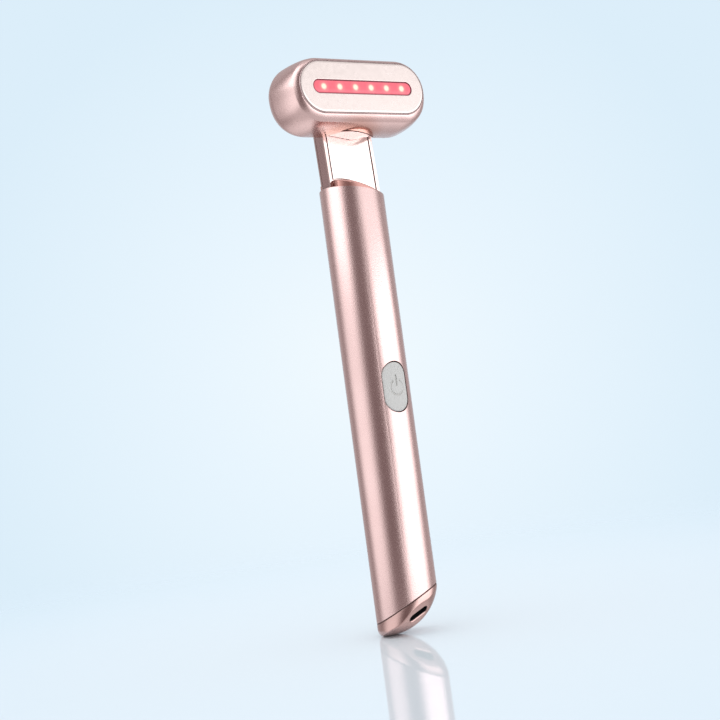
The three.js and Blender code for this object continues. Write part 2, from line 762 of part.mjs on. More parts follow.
// Side panel outline: a plain strip; side is 1 at +X and -1 at -X
function sideOutline(side, inset) {
  const half = sidePanelHalfWidth - inset;
  const low = trimProud - side * rimFall * neckHalfWidth + panelRail + inset;
  const high = slabTop - side * bossFall * neckHalfWidth - panelRail - inset;
  const outline = new THREE.Shape();
  outline.moveTo(-half, low);
  outline.lineTo(half, low);
  outline.lineTo(half, high);
  outline.lineTo(-half, high);
  outline.closePath();
  return outline;
}

const panelSides = {
  front: { bearing: 0, face: neckHalfDepth, outline: (inset) => frontOutline(1, inset) },
  right: { bearing: 90, face: neckHalfWidth, outline: (inset) => sideOutline(1, inset) },
  back: { bearing: 180, face: neckHalfDepth, outline: (inset) => frontOutline(-1, inset) },
  left: { bearing: 270, face: neckHalfWidth, outline: (inset) => sideOutline(-1, inset) },
};

// The solid of one panel, from a lift over the recess floor, thickness thick
function panelSolid(side, inset, lift, thickness) {
  const { bearing, face, outline } = panelSides[side];
  return solid(extruded(outline(inset), thickness, 0, 10)
    .rotateX(Math.PI / 2).translate(0, panelRecess - face - lift, 0)).rotate([0, 0, bearing]);
}

function neckSlab() {
  const foot = collarThickness / 2 - collarDepth;
  const width = neckHalfWidth;
  const slab = block([-width, -neckHalfDepth, -neckFootHeight], [width, neckHalfDepth, neckTop])
    .add(block([neckFootInset - width, -neckHalfDepth, foot],
      [width - neckFootInset, neckHalfDepth, 0]));
  const tenon = slab.intersect(rod(neckFlangeRadius, 0, neckTop, fineFacets));
  const flangeLow = bossHeight - neckFlangeRadius / 2;
  const flange = rod(neckFlangeRadius, flangeLow, neckTop, fineFacets)
    .subtract(below(bossUp, bossCentre, neckFlangeLift));
  return slab.subtract(above(bossUp, bossCentre, -neckCornerGap)).add(tenon).add(flange);
}

function makeNeckFrame() {
  const lowerBore = toHead(
    rod(neckBore, rimHeight - spindleBottom - overcut, rimHeight + overcut, 24));
  const body = toHead(spindleSolid())
    .add(neckSlab())
    .add(rod(spigotRadius, neckTop - overcut, neckSpigotTop, 36));
  return Object.keys(panelSides)
    .reduce((frame, side) => frame.subtract(panelSolid(side, 0, 0, panelRecess + overcut)), body)
    .subtract(lowerBore)
    .subtract(rod(neckBore, -overcut, neckSpigotTop + overcut, 24));
}

function makeNut() {
  const low = padTop + faceGap;
  return rod(nutRadius, low, low + nutHeight, 6)
    .subtract(rod(spigotRadius + seatGap, low - overcut, low + nutHeight + overcut, 36));
}

// Head shell: a barrel that grows from the plate's outline to its crown and rounds off behind
function barrelSection(depth, inset) {
  const front = depth < crownDepth;
  const run = front ? 1 - depth / crownDepth : (depth - crownDepth) / (headDepth - crownDepth);
  const fullness = front ? frontFullness : backFullness;
  const rise = Math.max(0, 1 - run ** fullness) ** (1 / fullness);
  const crown = plateHalfHeight + topBulge;
  const length = front ? plateHalfLength + endBulge * rise
    : plateHalfLength + endBulge - (1 - rise) * crown;
  const top = front ? plateHalfHeight + topBulge * rise : crown * rise;
  const bottom = front ? plateHalfHeight + bottomBulge * rise
    : (plateHalfHeight + bottomBulge) * rise;
  return [length - inset, top - inset, bottom - inset, 2 + lowerCorner * rise];
}

function barrel(depths, inset, count) {
  const places = [];
  const sections = depths.map((depth) => [depth, ...barrelSection(depth, inset)]);
  for (const [depth, length, top, bottom, corner] of sections) {
    const end = (top + bottom) / 2;
    for (let i = 0; i < count; i += 1) {
      const angle = ((i + 0.5) / count) * 2 * Math.PI;
      const power = Math.sin(angle) > 0 ? 1 : 2 / corner;
      const across = Math.abs(Math.cos(angle)) ** power * end + length - end;
      const up = Math.abs(Math.sin(angle)) ** power * (Math.sin(angle) > 0 ? top : -bottom);
      places.push(Math.sign(Math.cos(angle)) * across, depthY(depth), headHeight + up);
    }
  }
  const index = [];
  const last = (depths.length - 1) * count;
  for (let s = 0; s < last; s += count) {
    for (let i = 0; i < count; i += 1) {
      const next = (i + 1) % count;
      index.push(s + i, s + count + next, s + next, s + i, s + count + i, s + count + next);
    }
  }
  for (let i = 1; i < count - 1; i += 1) {
    index.push(0, i, i + 1);
    index.push(last, last + i + 1, last + i);
  }
  const geometry = new THREE.BufferGeometry();
  geometry.setAttribute('position', new THREE.Float32BufferAttribute(places, 3));
  geometry.setIndex(index);
  return solid(geometry);
}

function barrelDepths(first, last, frontSteps, backSteps) {
  const depths = [];
  for (let i = 0; i < frontSteps; i += 1) {
    depths.push(first + (crownDepth - first) * (i / frontSteps) ** 1.6);
  }
  for (let i = 0; i <= backSteps; i += 1) {
    depths.push(crownDepth + (last - crownDepth) * Math.sin((i / backSteps) * Math.PI / 2));
  }
  return depths;
}

const trayHalf = [plateHalfLength + seatGap + lipWidth, plateHalfHeight + seatGap + lipWidth];
const trayRearHalf = [plateHalfLength - trayInset, plateHalfHeight - trayInset];

function makeHeadShell() {
  const shoulder = [];
  for (let step = 0; step <= 5; step += 1) {
    const angle = (step / 5) * Math.PI / 2;
    shoulder.push([bossRadius * Math.cos(angle),
      bossShoulder + (bossTop - bossShoulder) * Math.sin(angle)]);
  }
  shoulder[shoulder.length - 1][0] = 0;
  const low = bossHeight - bossRadius / 2;
  const boss = turned([[0, low], [bossRadius, low], ...shoulder], 60)
    .subtract(below(bossUp, bossCentre));
  const outside = barrel(barrelDepths(shellFront, headDepth - 0.4, 6, 7), 0, sectionPoints)
    .add(boss);
  const inside = barrel(barrelDepths(2.8, headDepth - 2.9, 4, 5), headWall, 28);
  const pad = block([-padHalfLength, motorY - cradleHalfDepth, bossHeight],
    [0, motorY + cradleHalfDepth + padBackReach, padTop])
    .add(rod(bossRadius, bossHeight, padTop, fineFacets))
    .intersect(outside);
  const slabSpace = block([-neckHalfWidth - seatGap, -neckHalfDepth - seatGap, low],
    [neckHalfWidth + seatGap, neckHalfDepth + seatGap, neckTop])
    .subtract(above(bossUp, bossCentre));
  return outside
    .subtract(inside)
    .add(pad)
    .subtract(slabSpace)
    .subtract(faceSlab(trayHalf[0] + lipGap, trayHalf[1] + lipGap, -overcut, trayStep + lipGap))
    .subtract(faceSlab(trayRearHalf[0] + runningGap, trayRearHalf[1] + runningGap, 0,
      boardDepth + runningGap))
    .subtract(rod(bossRadius - skirtWall, low, neckTop + seatGap, 48))
    .subtract(rod(spigotRadius + runningGap, neckTop - overcut, padTop + overcut, 36))
    .subtract(rod(nutRadius + runningGap, padTop, neckSpigotTop + seatGap, 36));
}

// Front module: contact plate, window, insulating tray, light board
function makeContactPlate() {
  return faceSlab(plateHalfLength, plateHalfHeight, 0, plateThickness, plateChamfer)
    .subtract(faceSlab(windowHalfLength, windowHalfHeight, -overcut, plateThickness + overcut));
}

const flangeFrom = plateThickness + faceGap;
const flangeTo = flangeFrom + windowFlangeThickness;

function makeWindow() {
  return faceSlab(windowHalfLength - windowGap, windowHalfHeight - windowGap, windowSink, flangeTo)
    .add(faceSlab(windowHalfLength + windowFlange, windowHalfHeight + windowFlange,
      flangeFrom, flangeTo));
}

const lightOpening = [windowHalfLength + windowFlange + seatGap,
  windowHalfHeight + windowFlange + seatGap];

function makeTray() {
  return faceSlab(trayHalf[0], trayHalf[1], lipSink, trayStep, lipBevel)
    .add(faceSlab(trayRearHalf[0], trayRearHalf[1], trayStep - 0.2, boardDepth - faceGap))
    .subtract(faceSlab(plateHalfLength + seatGap, plateHalfHeight + seatGap,
      -overcut, plateThickness + faceGap))
    .subtract(faceSlab(lightOpening[0], lightOpening[1], 0, boardDepth + overcut))
    .subtract(headScrewHoles())
    .subtract(contactPin(contactPinRadius + seatGap, 0, boardDepth + overcut));
}

const boardRear = boardDepth + ledBoardThickness;
const contactPin = (radius, from, to) => rodAlongY(
  radius, depthY(from), depthY(to), 0, headHeight + contactPinHeight, 16);
const headScrewHoles = () => [-headScrewPlace, headScrewPlace]
  .map((x) => rodAlongY(headScrewRadius + seatGap, depthY(headScrewTip - seatGap),
    depthY(boardRear + overcut), x, headHeight, 16))
  .reduce((all, hole) => all.add(hole));

function makeHeadScrew(x) {
  const seat = boardRear + faceGap;
  const shank = rodAlongY(
    headScrewRadius, depthY(headScrewTip), depthY(seat + faceGap), x, headHeight, 16);
  return shank.add(rodAlongY(
    headScrewHead, depthY(seat), depthY(seat + headScrewHeadHeight), x, headHeight, 16));
}

function makeLedBoard() {
  return faceSlab(ledBoardHalfLength, ledBoardHalfHeight, boardDepth, boardRear)
    .subtract(headScrewHoles());
}

function makeLed(number) {
  const x = (number - (ledCount - 1) / 2) * ledPitch;
  return block(
    [x - ledWidth / 2, depthY(boardDepth - faceGap - ledDepth), headHeight - ledHeight / 2],
    [x + ledWidth / 2, depthY(boardDepth - faceGap), headHeight + ledHeight / 2]);
}

// Vibration motor on its cradle, with an off-centre weight on the shaft
const motorFar = -motorEnd - motorLength;

function makeCradle() {
  const middle = (-motorEnd + motorFar) / 2;
  return block([middle - cradleLength / 2, motorY - cradleHalfDepth, padTop + faceGap],
    [middle + cradleLength / 2, motorY + cradleHalfDepth, headHeight - cradleSeat])
    .subtract(rodAlongX(motorRadius + seatGap, motorFar - overcut, overcut, motorY, headHeight));
}

function makeMotorCan() {
  return rodAlongX(motorRadius, motorFar, -motorEnd, motorY, headHeight)
    .subtract(rodAlongX(shaftRadius + runningGap, motorFar - overcut, motorFar + canBore,
      motorY, headHeight, 16));
}

function makeShaft() {
  return rodAlongX(shaftRadius, motorFar - shaftReach, motorFar + shaftTail, motorY, headHeight, 16);
}

function makeWeight() {
  const near = motorFar - weightGap;
  return rodAlongX(weightRadius, near - weightLength, near, motorY, headHeight)
    .subtract(block([near - weightLength - overcut, -reach, headHeight],
      [near + overcut, reach, reach]))
    .add(rodAlongX(weightHub, near - weightLength, near, motorY, headHeight, 20))
    .subtract(rodAlongX(shaftRadius + 0.1, near - weightLength - overcut, near + overcut,
      motorY, headHeight, 16));
}

// Lead from the light board down through neck and spindle; a lower length meets the board socket
const inHead = ([x, y, z]) => new THREE.Vector3(x, y, z).applyMatrix4(intoHead).toArray();
const leadEnd = rimHeight - spindleBottom - 0.6;
const upperLead = [
  inHead([0, 0, leadEnd]),
  inHead([0, 0, rimHeight - leadBend]),
  [0, 0, 2],
  [0, 0, neckTop],
  [0, -0.6, leadTop],
  [0, depthY(boardRear) + 2.6, leadTop + 2.4],
  [0, depthY(boardRear) + runningGap, leadTop + 2.6],
];
const lowerLead = [
  [0, 0, leadEnd - runningGap],
  [0, 0, leadEnd - 2 * runningGap],
  [0.6, -0.7, leadEnd - 1.8],
  [leadSocketSide, -boardFront - leadRadius - runningGap, carrierTop + 1.2],
  [leadSocketSide, -boardFront - leadRadius - runningGap, leadSocketTop + runningGap],
];
handleGroup.add(mesh('head_lead_lower', lead(lowerLead, leadRadius, 16), blackRubber));

const headGroup = new THREE.Group();
headGroup.position.copy(rimCentre);
headGroup.rotation.x = -cant;
headGroup.add(
  mesh('neck_frame', makeNeckFrame(), polishedRose),
  mesh('trim_front', makeTrim(-1), copperRose),
  mesh('trim_back', makeTrim(1), copperRose),
  mesh('neck_nut', makeNut(), brass),
  mesh('spindle_clip', toHead(makeClip()), steel),
  mesh('stop_pin', toHead(makeStopPin()), steel),
  mesh('head_lead_upper', lead(upperLead, leadRadius, 36), blackRubber),
  mesh('head_shell', makeHeadShell(), satinRose),
  mesh('plate_insulator', makeTray(), insulatorRose),
  mesh('contact_plate', makeContactPlate(), plateRose),
  mesh('light_window', makeWindow(), redWindow),
  mesh('plate_contact', contactPin(contactPinRadius, plateThickness + faceGap,
    boardDepth - faceGap), brass),
  mesh('led_board', makeLedBoard(), boardGreen),
  mesh('head_screw_left', makeHeadScrew(-headScrewPlace), steel),
  mesh('head_screw_right', makeHeadScrew(headScrewPlace), steel),
  mesh('motor_cradle', makeCradle(), blackPlastic),
  mesh('motor_can', makeMotorCan(), steel),
  mesh('motor_shaft', makeShaft(), steel),
  mesh('eccentric_weight', makeWeight(), brass),
);
for (const side of Object.keys(panelSides)) {
  headGroup.add(mesh(`neck_panel_${side}`,
    panelSolid(side, panelGap, faceGap, panelThickness), polishedRose));
}
for (let number = 0; number < ledCount; number += 1) {
  headGroup.add(mesh(`led_${number + 1}`, makeLed(number), ledWhite));
}

// The whole wand, moved so that the middle of its box stands over the origin
const wand = new THREE.Group();
wand.add(tailGroup, handleGroup, headGroup);
const box = new THREE.Box3().setFromObject(wand, true);
wand.position.set(-(box.min.x + box.max.x) / 2, -(box.min.y + box.max.y) / 2, -box.min.z);

export default wand;
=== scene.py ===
import json
import math

import bmesh
import bpy
from mathutils import Matrix, Vector


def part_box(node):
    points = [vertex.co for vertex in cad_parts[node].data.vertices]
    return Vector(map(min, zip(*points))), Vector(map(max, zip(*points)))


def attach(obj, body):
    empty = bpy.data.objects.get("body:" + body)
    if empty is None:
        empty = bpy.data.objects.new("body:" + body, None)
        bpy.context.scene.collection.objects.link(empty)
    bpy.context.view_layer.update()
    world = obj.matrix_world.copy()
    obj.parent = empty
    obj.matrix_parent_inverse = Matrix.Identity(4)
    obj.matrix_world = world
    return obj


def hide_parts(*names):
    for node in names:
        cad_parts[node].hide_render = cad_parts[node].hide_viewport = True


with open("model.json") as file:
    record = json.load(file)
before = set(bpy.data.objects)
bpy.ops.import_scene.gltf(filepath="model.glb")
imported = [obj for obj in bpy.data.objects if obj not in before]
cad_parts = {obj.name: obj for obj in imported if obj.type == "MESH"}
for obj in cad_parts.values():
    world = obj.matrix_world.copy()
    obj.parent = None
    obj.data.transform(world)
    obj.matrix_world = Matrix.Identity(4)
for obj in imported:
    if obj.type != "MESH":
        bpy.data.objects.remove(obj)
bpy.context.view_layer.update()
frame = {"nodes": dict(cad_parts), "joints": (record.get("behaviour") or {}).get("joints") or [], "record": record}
nodes = frame["nodes"]
swivel = next(joint for joint in frame["joints"] if joint["name"] == "head_swivel")

MM = 0.001
AXIS_Y = swivel["pos_m"][1] / MM
RIM_Z = swivel["pos_m"][2] / MM

# Sizes in millimetres: handle sleeve and its two slanting ends
TUBE_R = 9.5
TUBE_BORE = 8.6
MOUTH_BORE = 9.2
MOUTH_DEEP = 9.0
RIM_FALL = 0.2
SEAM_Z = 8.5
SEAM_RISE = 0.517
SEAM_BEARING = math.radians(48.8)
SEAM_GAP = 0.3
RIM_EDGE = 0.12

# Button
BUTTON_Z = 71.8
BUTTON_HALF = (7.25, 4.0)
BUTTON_GAP = 0.3
BUTTON_PROUD = 0.1
BUTTON_BACK = 7.3
ICON_R = 2.15
ICON_HALF_LINE = 0.34
ICON_DEEP = 0.38

# Tail: dome, resting flat, port flat
TAIL_DOME_R = 16.0
TAIL_CORNER = 2.0
TAIL_WALL = 1.6
TAIL_FLOOR = 2.0
EDGE_BLEND = 0.25
PORT_BLEND = 1.1
SPIGOT_R = 8.3
SPIGOT_TALL = 3.5
TAIL_BORE = 7.4
PORT_BLOCK_HALF = (4.65, 2.25)
PORT_BEARING = math.radians(10.5)
PORT_TILT = math.radians(37.9)
PORT_HALF = (3.35, 1.3)
SOCKET_HALF = (3.95, 1.55)
SOCKET_DEEP = 8.2

# Canted head and neck, measured from the rim's centre
CANT = math.radians(2.6)
HEAD_Z = 28.3
FACE_REACH = 14.42
PLATE_HALF = (21.65, 7.55)
WINDOW_HALF = (17.55, 2.1)
HEAD_DEEP = 22.0
HEAD_END = 21.6
CROWN_DEEP = 12.3
FRONT_FULLNESS = 2.24
BACK_FULLNESS = 1.5
SWELL_SIDE = 2.79
SWELL_UP = 2.32
SWELL_DOWN = 3.88
BOSS_R = 9.2
BOSS_Z = 16.2
BOSS_FALL = 0.16
BOSS_CLIMB_LEFT = 0.35
BOSS_CLIMB_RIGHT = 0.37
BOSS_FLATTER = 0.985
BOSS_SHOULDER = 18.5
BOSS_TOP = 26.0
BOSS_WALL = 0.8
BOSS_FLOOR_R = 8.75
BOSS_FLOOR_TOP = 21.6
SPINDLE_BORE = 3.3
NUT_POCKET_R = 4.9
NECK_HALF = (8.71, 2.45)
PANEL_HALF = (7.76, 1.8)
PANEL_GAP = 0.46
SIDE_PANEL_GAP = 0.1
PANEL_DEEP = 0.55
BOSS_JOINT = 0.14
BOSS_GROOVE = 0.28
LIP_OPENING = (22.0, 7.9)
LIP_FRONT = 0.45
LIP_BACK = 1.9
COLLAR_R = 8.9
TRIM_PROUD = 0.2
TRIM_CROWN = 2.9
TRIM_LOW = 6.15
TRIM_GAP = 0.2
LED_PITCH = 5.54
LED_BEHIND = 3.075
HEAD_SCREW_BEHIND = 4.25
FLOOR_R = 450
FLOOR_DROP = 0.05

# Camera, at the photograph's viewing angle
camera_data = bpy.data.cameras.new("camera")
camera = bpy.data.objects.new("camera", camera_data)
bpy.context.scene.collection.objects.link(camera)
camera_data.sensor_width = 36.0
focal_length_in_picture_widths = 1421.26 / 720
camera_data.lens = focal_length_in_picture_widths * camera_data.sensor_width
camera_data.clip_start = 0.01
camera_data.clip_end = 50
LOOK = Vector((0.57406, 0.81749, 0.04648)).normalized()
RIGHT = Vector((0.81463, -0.56448, -0.13318))
RIGHT = (RIGHT - LOOK * RIGHT.dot(LOOK)).normalized()
UP = RIGHT.cross(LOOK)
EYE = Vector((-244.70, -341.37 + AXIS_Y, 61.65)) * MM
camera.matrix_world = Matrix((
    (RIGHT.x, UP.x, -LOOK.x, EYE.x),
    (RIGHT.y, UP.y, -LOOK.y, EYE.y),
    (RIGHT.z, UP.z, -LOOK.z, EYE.z),
    (0, 0, 0, 1)))
bpy.context.scene.camera = camera
bpy.context.scene.view_settings.view_transform = "Standard"


# Node helpers, for materials, the studio and Geometry Nodes alike
def srgb(red, green, blue):
    def linear(value):
        value /= 255
        return value / 12.92 if value <= 0.04045 else ((value + 0.055) / 1.055) ** 2.4
    return (linear(red), linear(green), linear(blue), 1.0)


class Value:
    """A number in a node tree; sums between values add Math nodes to the tree."""

    def __init__(self, tree, output):
        self.tree, self.output = tree, output

    def run(self, operation, *others):
        return calc(self.tree, operation, self, *others)

    def __add__(self, other):
        return self.run("ADD", other)

    def __sub__(self, other):
        return self.run("SUBTRACT", other)

    def __rsub__(self, other):
        return calc(self.tree, "SUBTRACT", other, self)

    def __mul__(self, other):
        return self.run("MULTIPLY", other)

    def __truediv__(self, other):
        return self.run("DIVIDE", other)

    def spread(self, low, high, from_low=0.0, from_high=1.0, soft=True):
        """Maps a range of this value onto another; soft eases its ends."""
        node = shader_node(self.tree, "MapRange", self, from_low, from_high, low, high,
                           interpolation_type="SMOOTHSTEP" if soft else "LINEAR")
        return Value(self.tree, node.outputs["Result"])


def feed(tree, socket, value):
    """Links an output to a socket, or sets the socket to a plain value."""
    value = value.output if isinstance(value, Value) else value
    if hasattr(value, "is_output"):
        tree.links.new(value, socket)
    else:
        socket.default_value = value


def shader_node(tree, kind, *values, **settings):
    """A node with its settings; the values go into its inputs in order."""
    node = tree.nodes.new("ShaderNode" + kind)
    for key, value in settings.items():
        setattr(node, key, value)
    for socket, value in zip(node.inputs, values):
        feed(tree, socket, value)
    return node


def calc(tree, operation, *values):
    return Value(tree, shader_node(tree, "Math", *values, operation=operation).outputs[0])


def object_coordinates(tree):
    return shader_node(tree, "TexCoord").outputs["Object"]


def axes_of(tree, vector):
    return [Value(tree, output) for output in shader_node(tree, "SeparateXYZ", vector).outputs]


def compare(tree, operation, vector, point):
    """The distance of a vector from a point, or their dot product."""
    node = shader_node(tree, "VectorMath", vector, point, operation=operation)
    return Value(tree, node.outputs["Value"])


def noise(tree, scale, detail=2.0):
    node = shader_node(tree, "TexNoise", object_coordinates(tree))
    node.inputs["Scale"].default_value = scale
    node.inputs["Detail"].default_value = detail
    return Value(tree, node.outputs["Fac"])


def blend_colours(tree, factor, first, second, kind="MIX"):
    node = shader_node(tree, "Mix", factor, data_type="RGBA", blend_type=kind)
    feed(tree, node.inputs[6], first)
    feed(tree, node.inputs[7], second)
    return node.outputs[2]


def blend_shaders(tree, factor, first, second):
    return shader_node(tree, "MixShader", factor, first, second).outputs[0]


def new_material(name):
    material = bpy.data.materials.new(name)
    material.use_nodes = True
    tree = material.node_tree
    return material, tree, next(n for n in tree.nodes if n.type == "BSDF_PRINCIPLED")


def surface(name, colour, darker, metallic, roughness, grain_scale, grain, roughness_span=0.04):
    """A finish with slow colour patches, fine roughness variation and a fine bump."""
    material, tree, shader = new_material(name)
    patches = noise(tree, PATCH_SCALE, 3.0).spread(0, 1, 0.35, 0.65, soft=False)
    feed(tree, shader.inputs["Base Color"], blend_colours(tree, patches, colour, darker))
    fine = noise(tree, grain_scale)
    feed(tree, shader.inputs["Roughness"],
         fine.spread(roughness - roughness_span, roughness + roughness_span, 0.3, 0.7,
                     soft=False))
    shader.inputs["Metallic"].default_value = metallic
    relief = shader_node(tree, "Bump", grain, GRAIN_DEPTH)
    feed(tree, relief.inputs["Height"], fine)
    feed(tree, shader.inputs["Normal"], relief.outputs["Normal"])
    return material


# Finishes, most by the record's slots: name, colour, darker patches, metallic, roughness, grain
# scale, grain and, where it isn't the usual one, the span of the roughness
PATCH_SCALE = 60.0
GRAIN_DEPTH = 0.0001
FINISHES = {
    "satin_rose": ("satin_rose_gold", (0.79, 0.60, 0.585, 1), (0.76, 0.57, 0.555, 1), 1.0, 0.26,
                   2900.0, 0.28, 0.05),
    "tail_rose": ("tail_rose_gold", (0.61, 0.425, 0.40, 1), (0.58, 0.40, 0.375, 1), 1.0, 0.27,
                  5200.0, 0.08),
    "copper_rose": ("copper_rose_gold", (0.68, 0.38, 0.34, 1), (0.65, 0.36, 0.32, 1), 1.0, 0.34,
                    3000.0, 0.03),
    # Painted shade: a darker copy of the rose gold for the neck's side panels and their backings.
    "side_rose": ("side_panel_mauve", (0.52, 0.37, 0.36, 1), (0.48, 0.34, 0.335, 1), 1.0, 0.26,
                  2900.0, 0.1),
    "polished_rose": ("polished_rose_gold", (0.76, 0.61, 0.585, 1), (0.74, 0.595, 0.57, 1), 1.0,
                      0.12, 900.0, 0.01, 0.03),
    # Painted highlight: a lighter copy of the rose gold for the neck's front and back panels.
    "panel_rose": ("panel_rose_gold", (0.93, 0.83, 0.80, 1), (0.92, 0.82, 0.79, 1), 1.0, 0.2,
                   900.0, 0.01, 0.03),
    "plate_rose": ("plate_rose_gold", (0.63, 0.57, 0.55, 1), (0.62, 0.56, 0.54, 1), 1.0, 0.24,
                   700.0, 0.02),
    "insulator_rose": ("bezel_mauve", (0.66, 0.51, 0.51, 1), (0.63, 0.48, 0.48, 1), 0.8, 0.35,
                       2900.0, 0.1),
    "button_grey": ("button_soft_grey", srgb(213, 211, 208), srgb(209, 207, 204), 0.0, 0.55,
                    2600.0, 0.06),
    # Brown for the tail's seam gasket, and painted shade for the dark ring and sheets in the neck's gaps.
    "seal_brown": ("seal_brown", srgb(96, 66, 62), srgb(84, 58, 55), 0.0, 0.6, 2000.0, 0.1),
    "black_rubber": ("black_rubber", srgb(38, 34, 34), srgb(30, 27, 28), 0.0, 0.7, 2000.0, 0.1),
    "black_plastic": ("black_plastic", srgb(28, 28, 30), srgb(22, 22, 24), 0.0, 0.45, 1800.0,
                      0.05),
    "white_plastic": ("white_plastic", srgb(230, 227, 221), srgb(224, 221, 214), 0.0, 0.45, 1800.0,
                      0.04),
    "board_green": ("board_green", srgb(30, 92, 58), srgb(24, 80, 50), 0.0, 0.35, 900.0, 0.05),
    "steel": ("bright_steel", (0.62, 0.63, 0.65, 1), (0.56, 0.57, 0.6, 1), 1.0, 0.28, 2500.0,
              0.05),
    # Painted shade: a near-black copy of steel for the port's shell, as dark as the shade inside the port.
    "port_steel": ("port_steel", (0.10, 0.10, 0.105, 1), (0.07, 0.07, 0.075, 1), 1.0, 0.35, 2500.0,
                   0.05),
    "brass": ("bright_brass", (0.78, 0.56, 0.22, 1), (0.7, 0.5, 0.2, 1), 1.0, 0.3, 2500.0, 0.05),
    "copper": ("coil_copper", (0.72, 0.36, 0.19, 1), (0.6, 0.28, 0.14, 1), 1.0, 0.35, 2500.0, 0.1),
    "cell_blue": ("cell_blue", srgb(53, 88, 154), srgb(47, 80, 143), 0.0, 0.3, 900.0, 0.03),
    "wire_red": ("wire_red", srgb(179, 38, 30), srgb(165, 33, 26), 0.0, 0.5, 1500.0, 0.05),
    "wire_black": ("wire_black", srgb(26, 26, 26), srgb(20, 20, 20), 0.0, 0.5, 1500.0, 0.05),
    "led_white": ("chip_lens", srgb(255, 240, 200), srgb(252, 232, 190), 0.0, 0.2, 900.0, 0.02),
}
finish = {slot: surface(*recipe) for slot, recipe in FINISHES.items()}


def make_window_material():
    """Salmon-red light bar: warm points glow through it, and its edge is a dark mauve line."""
    material, tree, shader = new_material("light_window_red")
    x, _, z = axes_of(tree, object_coordinates(tree))
    height = (z - head_point(0, -FACE_REACH, HEAD_Z).z) / (MM * math.cos(CANT))
    along = x / (LED_PITCH * MM)
    cell = (along + 10.0).run("FRACT") - 0.5
    across = height / LED_PITCH
    distance = (cell * cell + across * across).run("SQRT")
    inside = along.run("ABSOLUTE").spread(1.0, 0.0, 2.95, 3.05, soft=False)
    core, halo = (distance.spread(1.0, 0.0, *span, soft=False) * inside
                  for span in ((0.09, 0.2), (0.12, 0.36)))
    straight = (WINDOW_HALF[0] - WINDOW_HALF[1]) * MM
    past = (x.run("ABSOLUTE") - straight).run("MAXIMUM", 0.0) / MM
    from_middle = (past * past + height * height).run("SQRT")
    edge = from_middle.spread(0.0, 1.0, WINDOW_HALF[1] - 0.55, WINDOW_HALF[1] - 0.2, soft=False)
    red = blend_colours(tree, noise(tree, 500.0).spread(0, 1, 0.4, 0.6, soft=False),
                        srgb(243, 104, 121), srgb(238, 98, 115))
    glow = blend_colours(tree, core, blend_colours(tree, halo, red, srgb(252, 138, 140)),
                         srgb(255, 238, 208))
    feed(tree, shader.inputs["Emission Color"],
         blend_colours(tree, edge, glow, srgb(150, 84, 96)))
    plain = blend_colours(tree, core, srgb(150, 60, 70), srgb(190, 150, 140))
    feed(tree, shader.inputs["Base Color"], blend_colours(tree, edge, plain, srgb(70, 40, 46)))
    shader.inputs["Emission Strength"].default_value = 0.85
    shader.inputs["Roughness"].default_value = 0.18
    return material


# Places on the canted head and neck
HEAD_PLACE = (Matrix.Translation((0, AXIS_Y * MM, RIM_Z * MM))
              @ Matrix.Rotation(-CANT, 4, "X"))


def head_point(x, y, z):
    return HEAD_PLACE @ Vector((x * MM, y * MM, z * MM))


# Shape helpers
def link(name, mesh):
    obj = bpy.data.objects.new(name, mesh)
    bpy.context.scene.collection.objects.link(obj)
    return obj


def mend(mesh):
    """Joins doubled corners and turns all faces outwards."""
    work = bmesh.new()
    work.from_mesh(mesh)
    bmesh.ops.remove_doubles(work, verts=work.verts, dist=1e-7)
    bmesh.ops.recalc_face_normals(work, faces=work.faces)
    work.to_mesh(mesh)
    work.free()


def mesh_from(name, points, faces, matrix=None):
    """A closed skin through points in millimetres."""
    mesh = bpy.data.meshes.new(name)
    mesh.from_pydata([tuple(c * MM for c in p) for p in points], [], faces)
    mend(mesh)
    if matrix is not None:
        mesh.transform(matrix)
    return link(name, mesh)


def skin(name, rings, loop=False, matrix=None):
    """A skin over rings of equal length; its ends are filled, or joined where loop is set."""
    count = len(rings[0])
    points = [p for ring in rings for p in ring]
    faces = []
    for row in range(len(rings) if loop else len(rings) - 1):
        here, there = row * count, ((row + 1) % len(rings)) * count
        for i in range(count):
            after = (i + 1) % count
            faces.append((here + i, here + after, there + after, there + i))
    if not loop:
        faces.append(tuple(range(count)))
        faces.append(tuple(range(len(points) - count, len(points))))
    return mesh_from(name, points, faces, matrix)


def prism(name, outline, low, high, matrix=None):
    """An outline of (x, y) points between two heights."""
    return skin(name, [[(x, y, height) for x, y in outline] for height in (low, high)],
                matrix=matrix)


def circle(radius, count=144):
    turns = [2 * math.pi * i / count for i in range(count)]
    return [(radius * math.cos(turn), radius * math.sin(turn)) for turn in turns]


def round_ring(radius, height, count=192):
    """Points round the handle axis; height is a number or a rule of x and y."""
    return [(x, y + AXIS_Y, height(x, y) if callable(height) else height)
            for x, y in circle(radius, count)]


def slot_ring(half_length, half_height, count=144):
    """A slot outline with round ends, as (along, across) pairs."""
    ring = []
    straight = half_length - half_height
    for i in range(count):
        angle = 2 * math.pi * (i + 0.5) / count
        ring.append((half_height * math.cos(angle) + math.copysign(straight, math.cos(angle)),
                     half_height * math.sin(angle)))
    return ring


def face_ring(half_length, half_height, depth, count=144):
    return [(x, depth - FACE_REACH, HEAD_Z + z)
            for x, z in slot_ring(half_length, half_height, count)]


def shrunk(half, inset):
    """Half sizes of a slot, smaller by an inset; a negative inset makes them larger."""
    return half[0] - inset, half[1] - inset


def bake(obj):
    """Turns the object and its modifiers into one plain mesh."""
    bpy.context.view_layer.update()
    graph = bpy.context.evaluated_depsgraph_get()
    mesh = bpy.data.meshes.new_from_object(obj.evaluated_get(graph), depsgraph=graph)
    obj.modifiers.clear()
    obj.data = mesh
    return obj


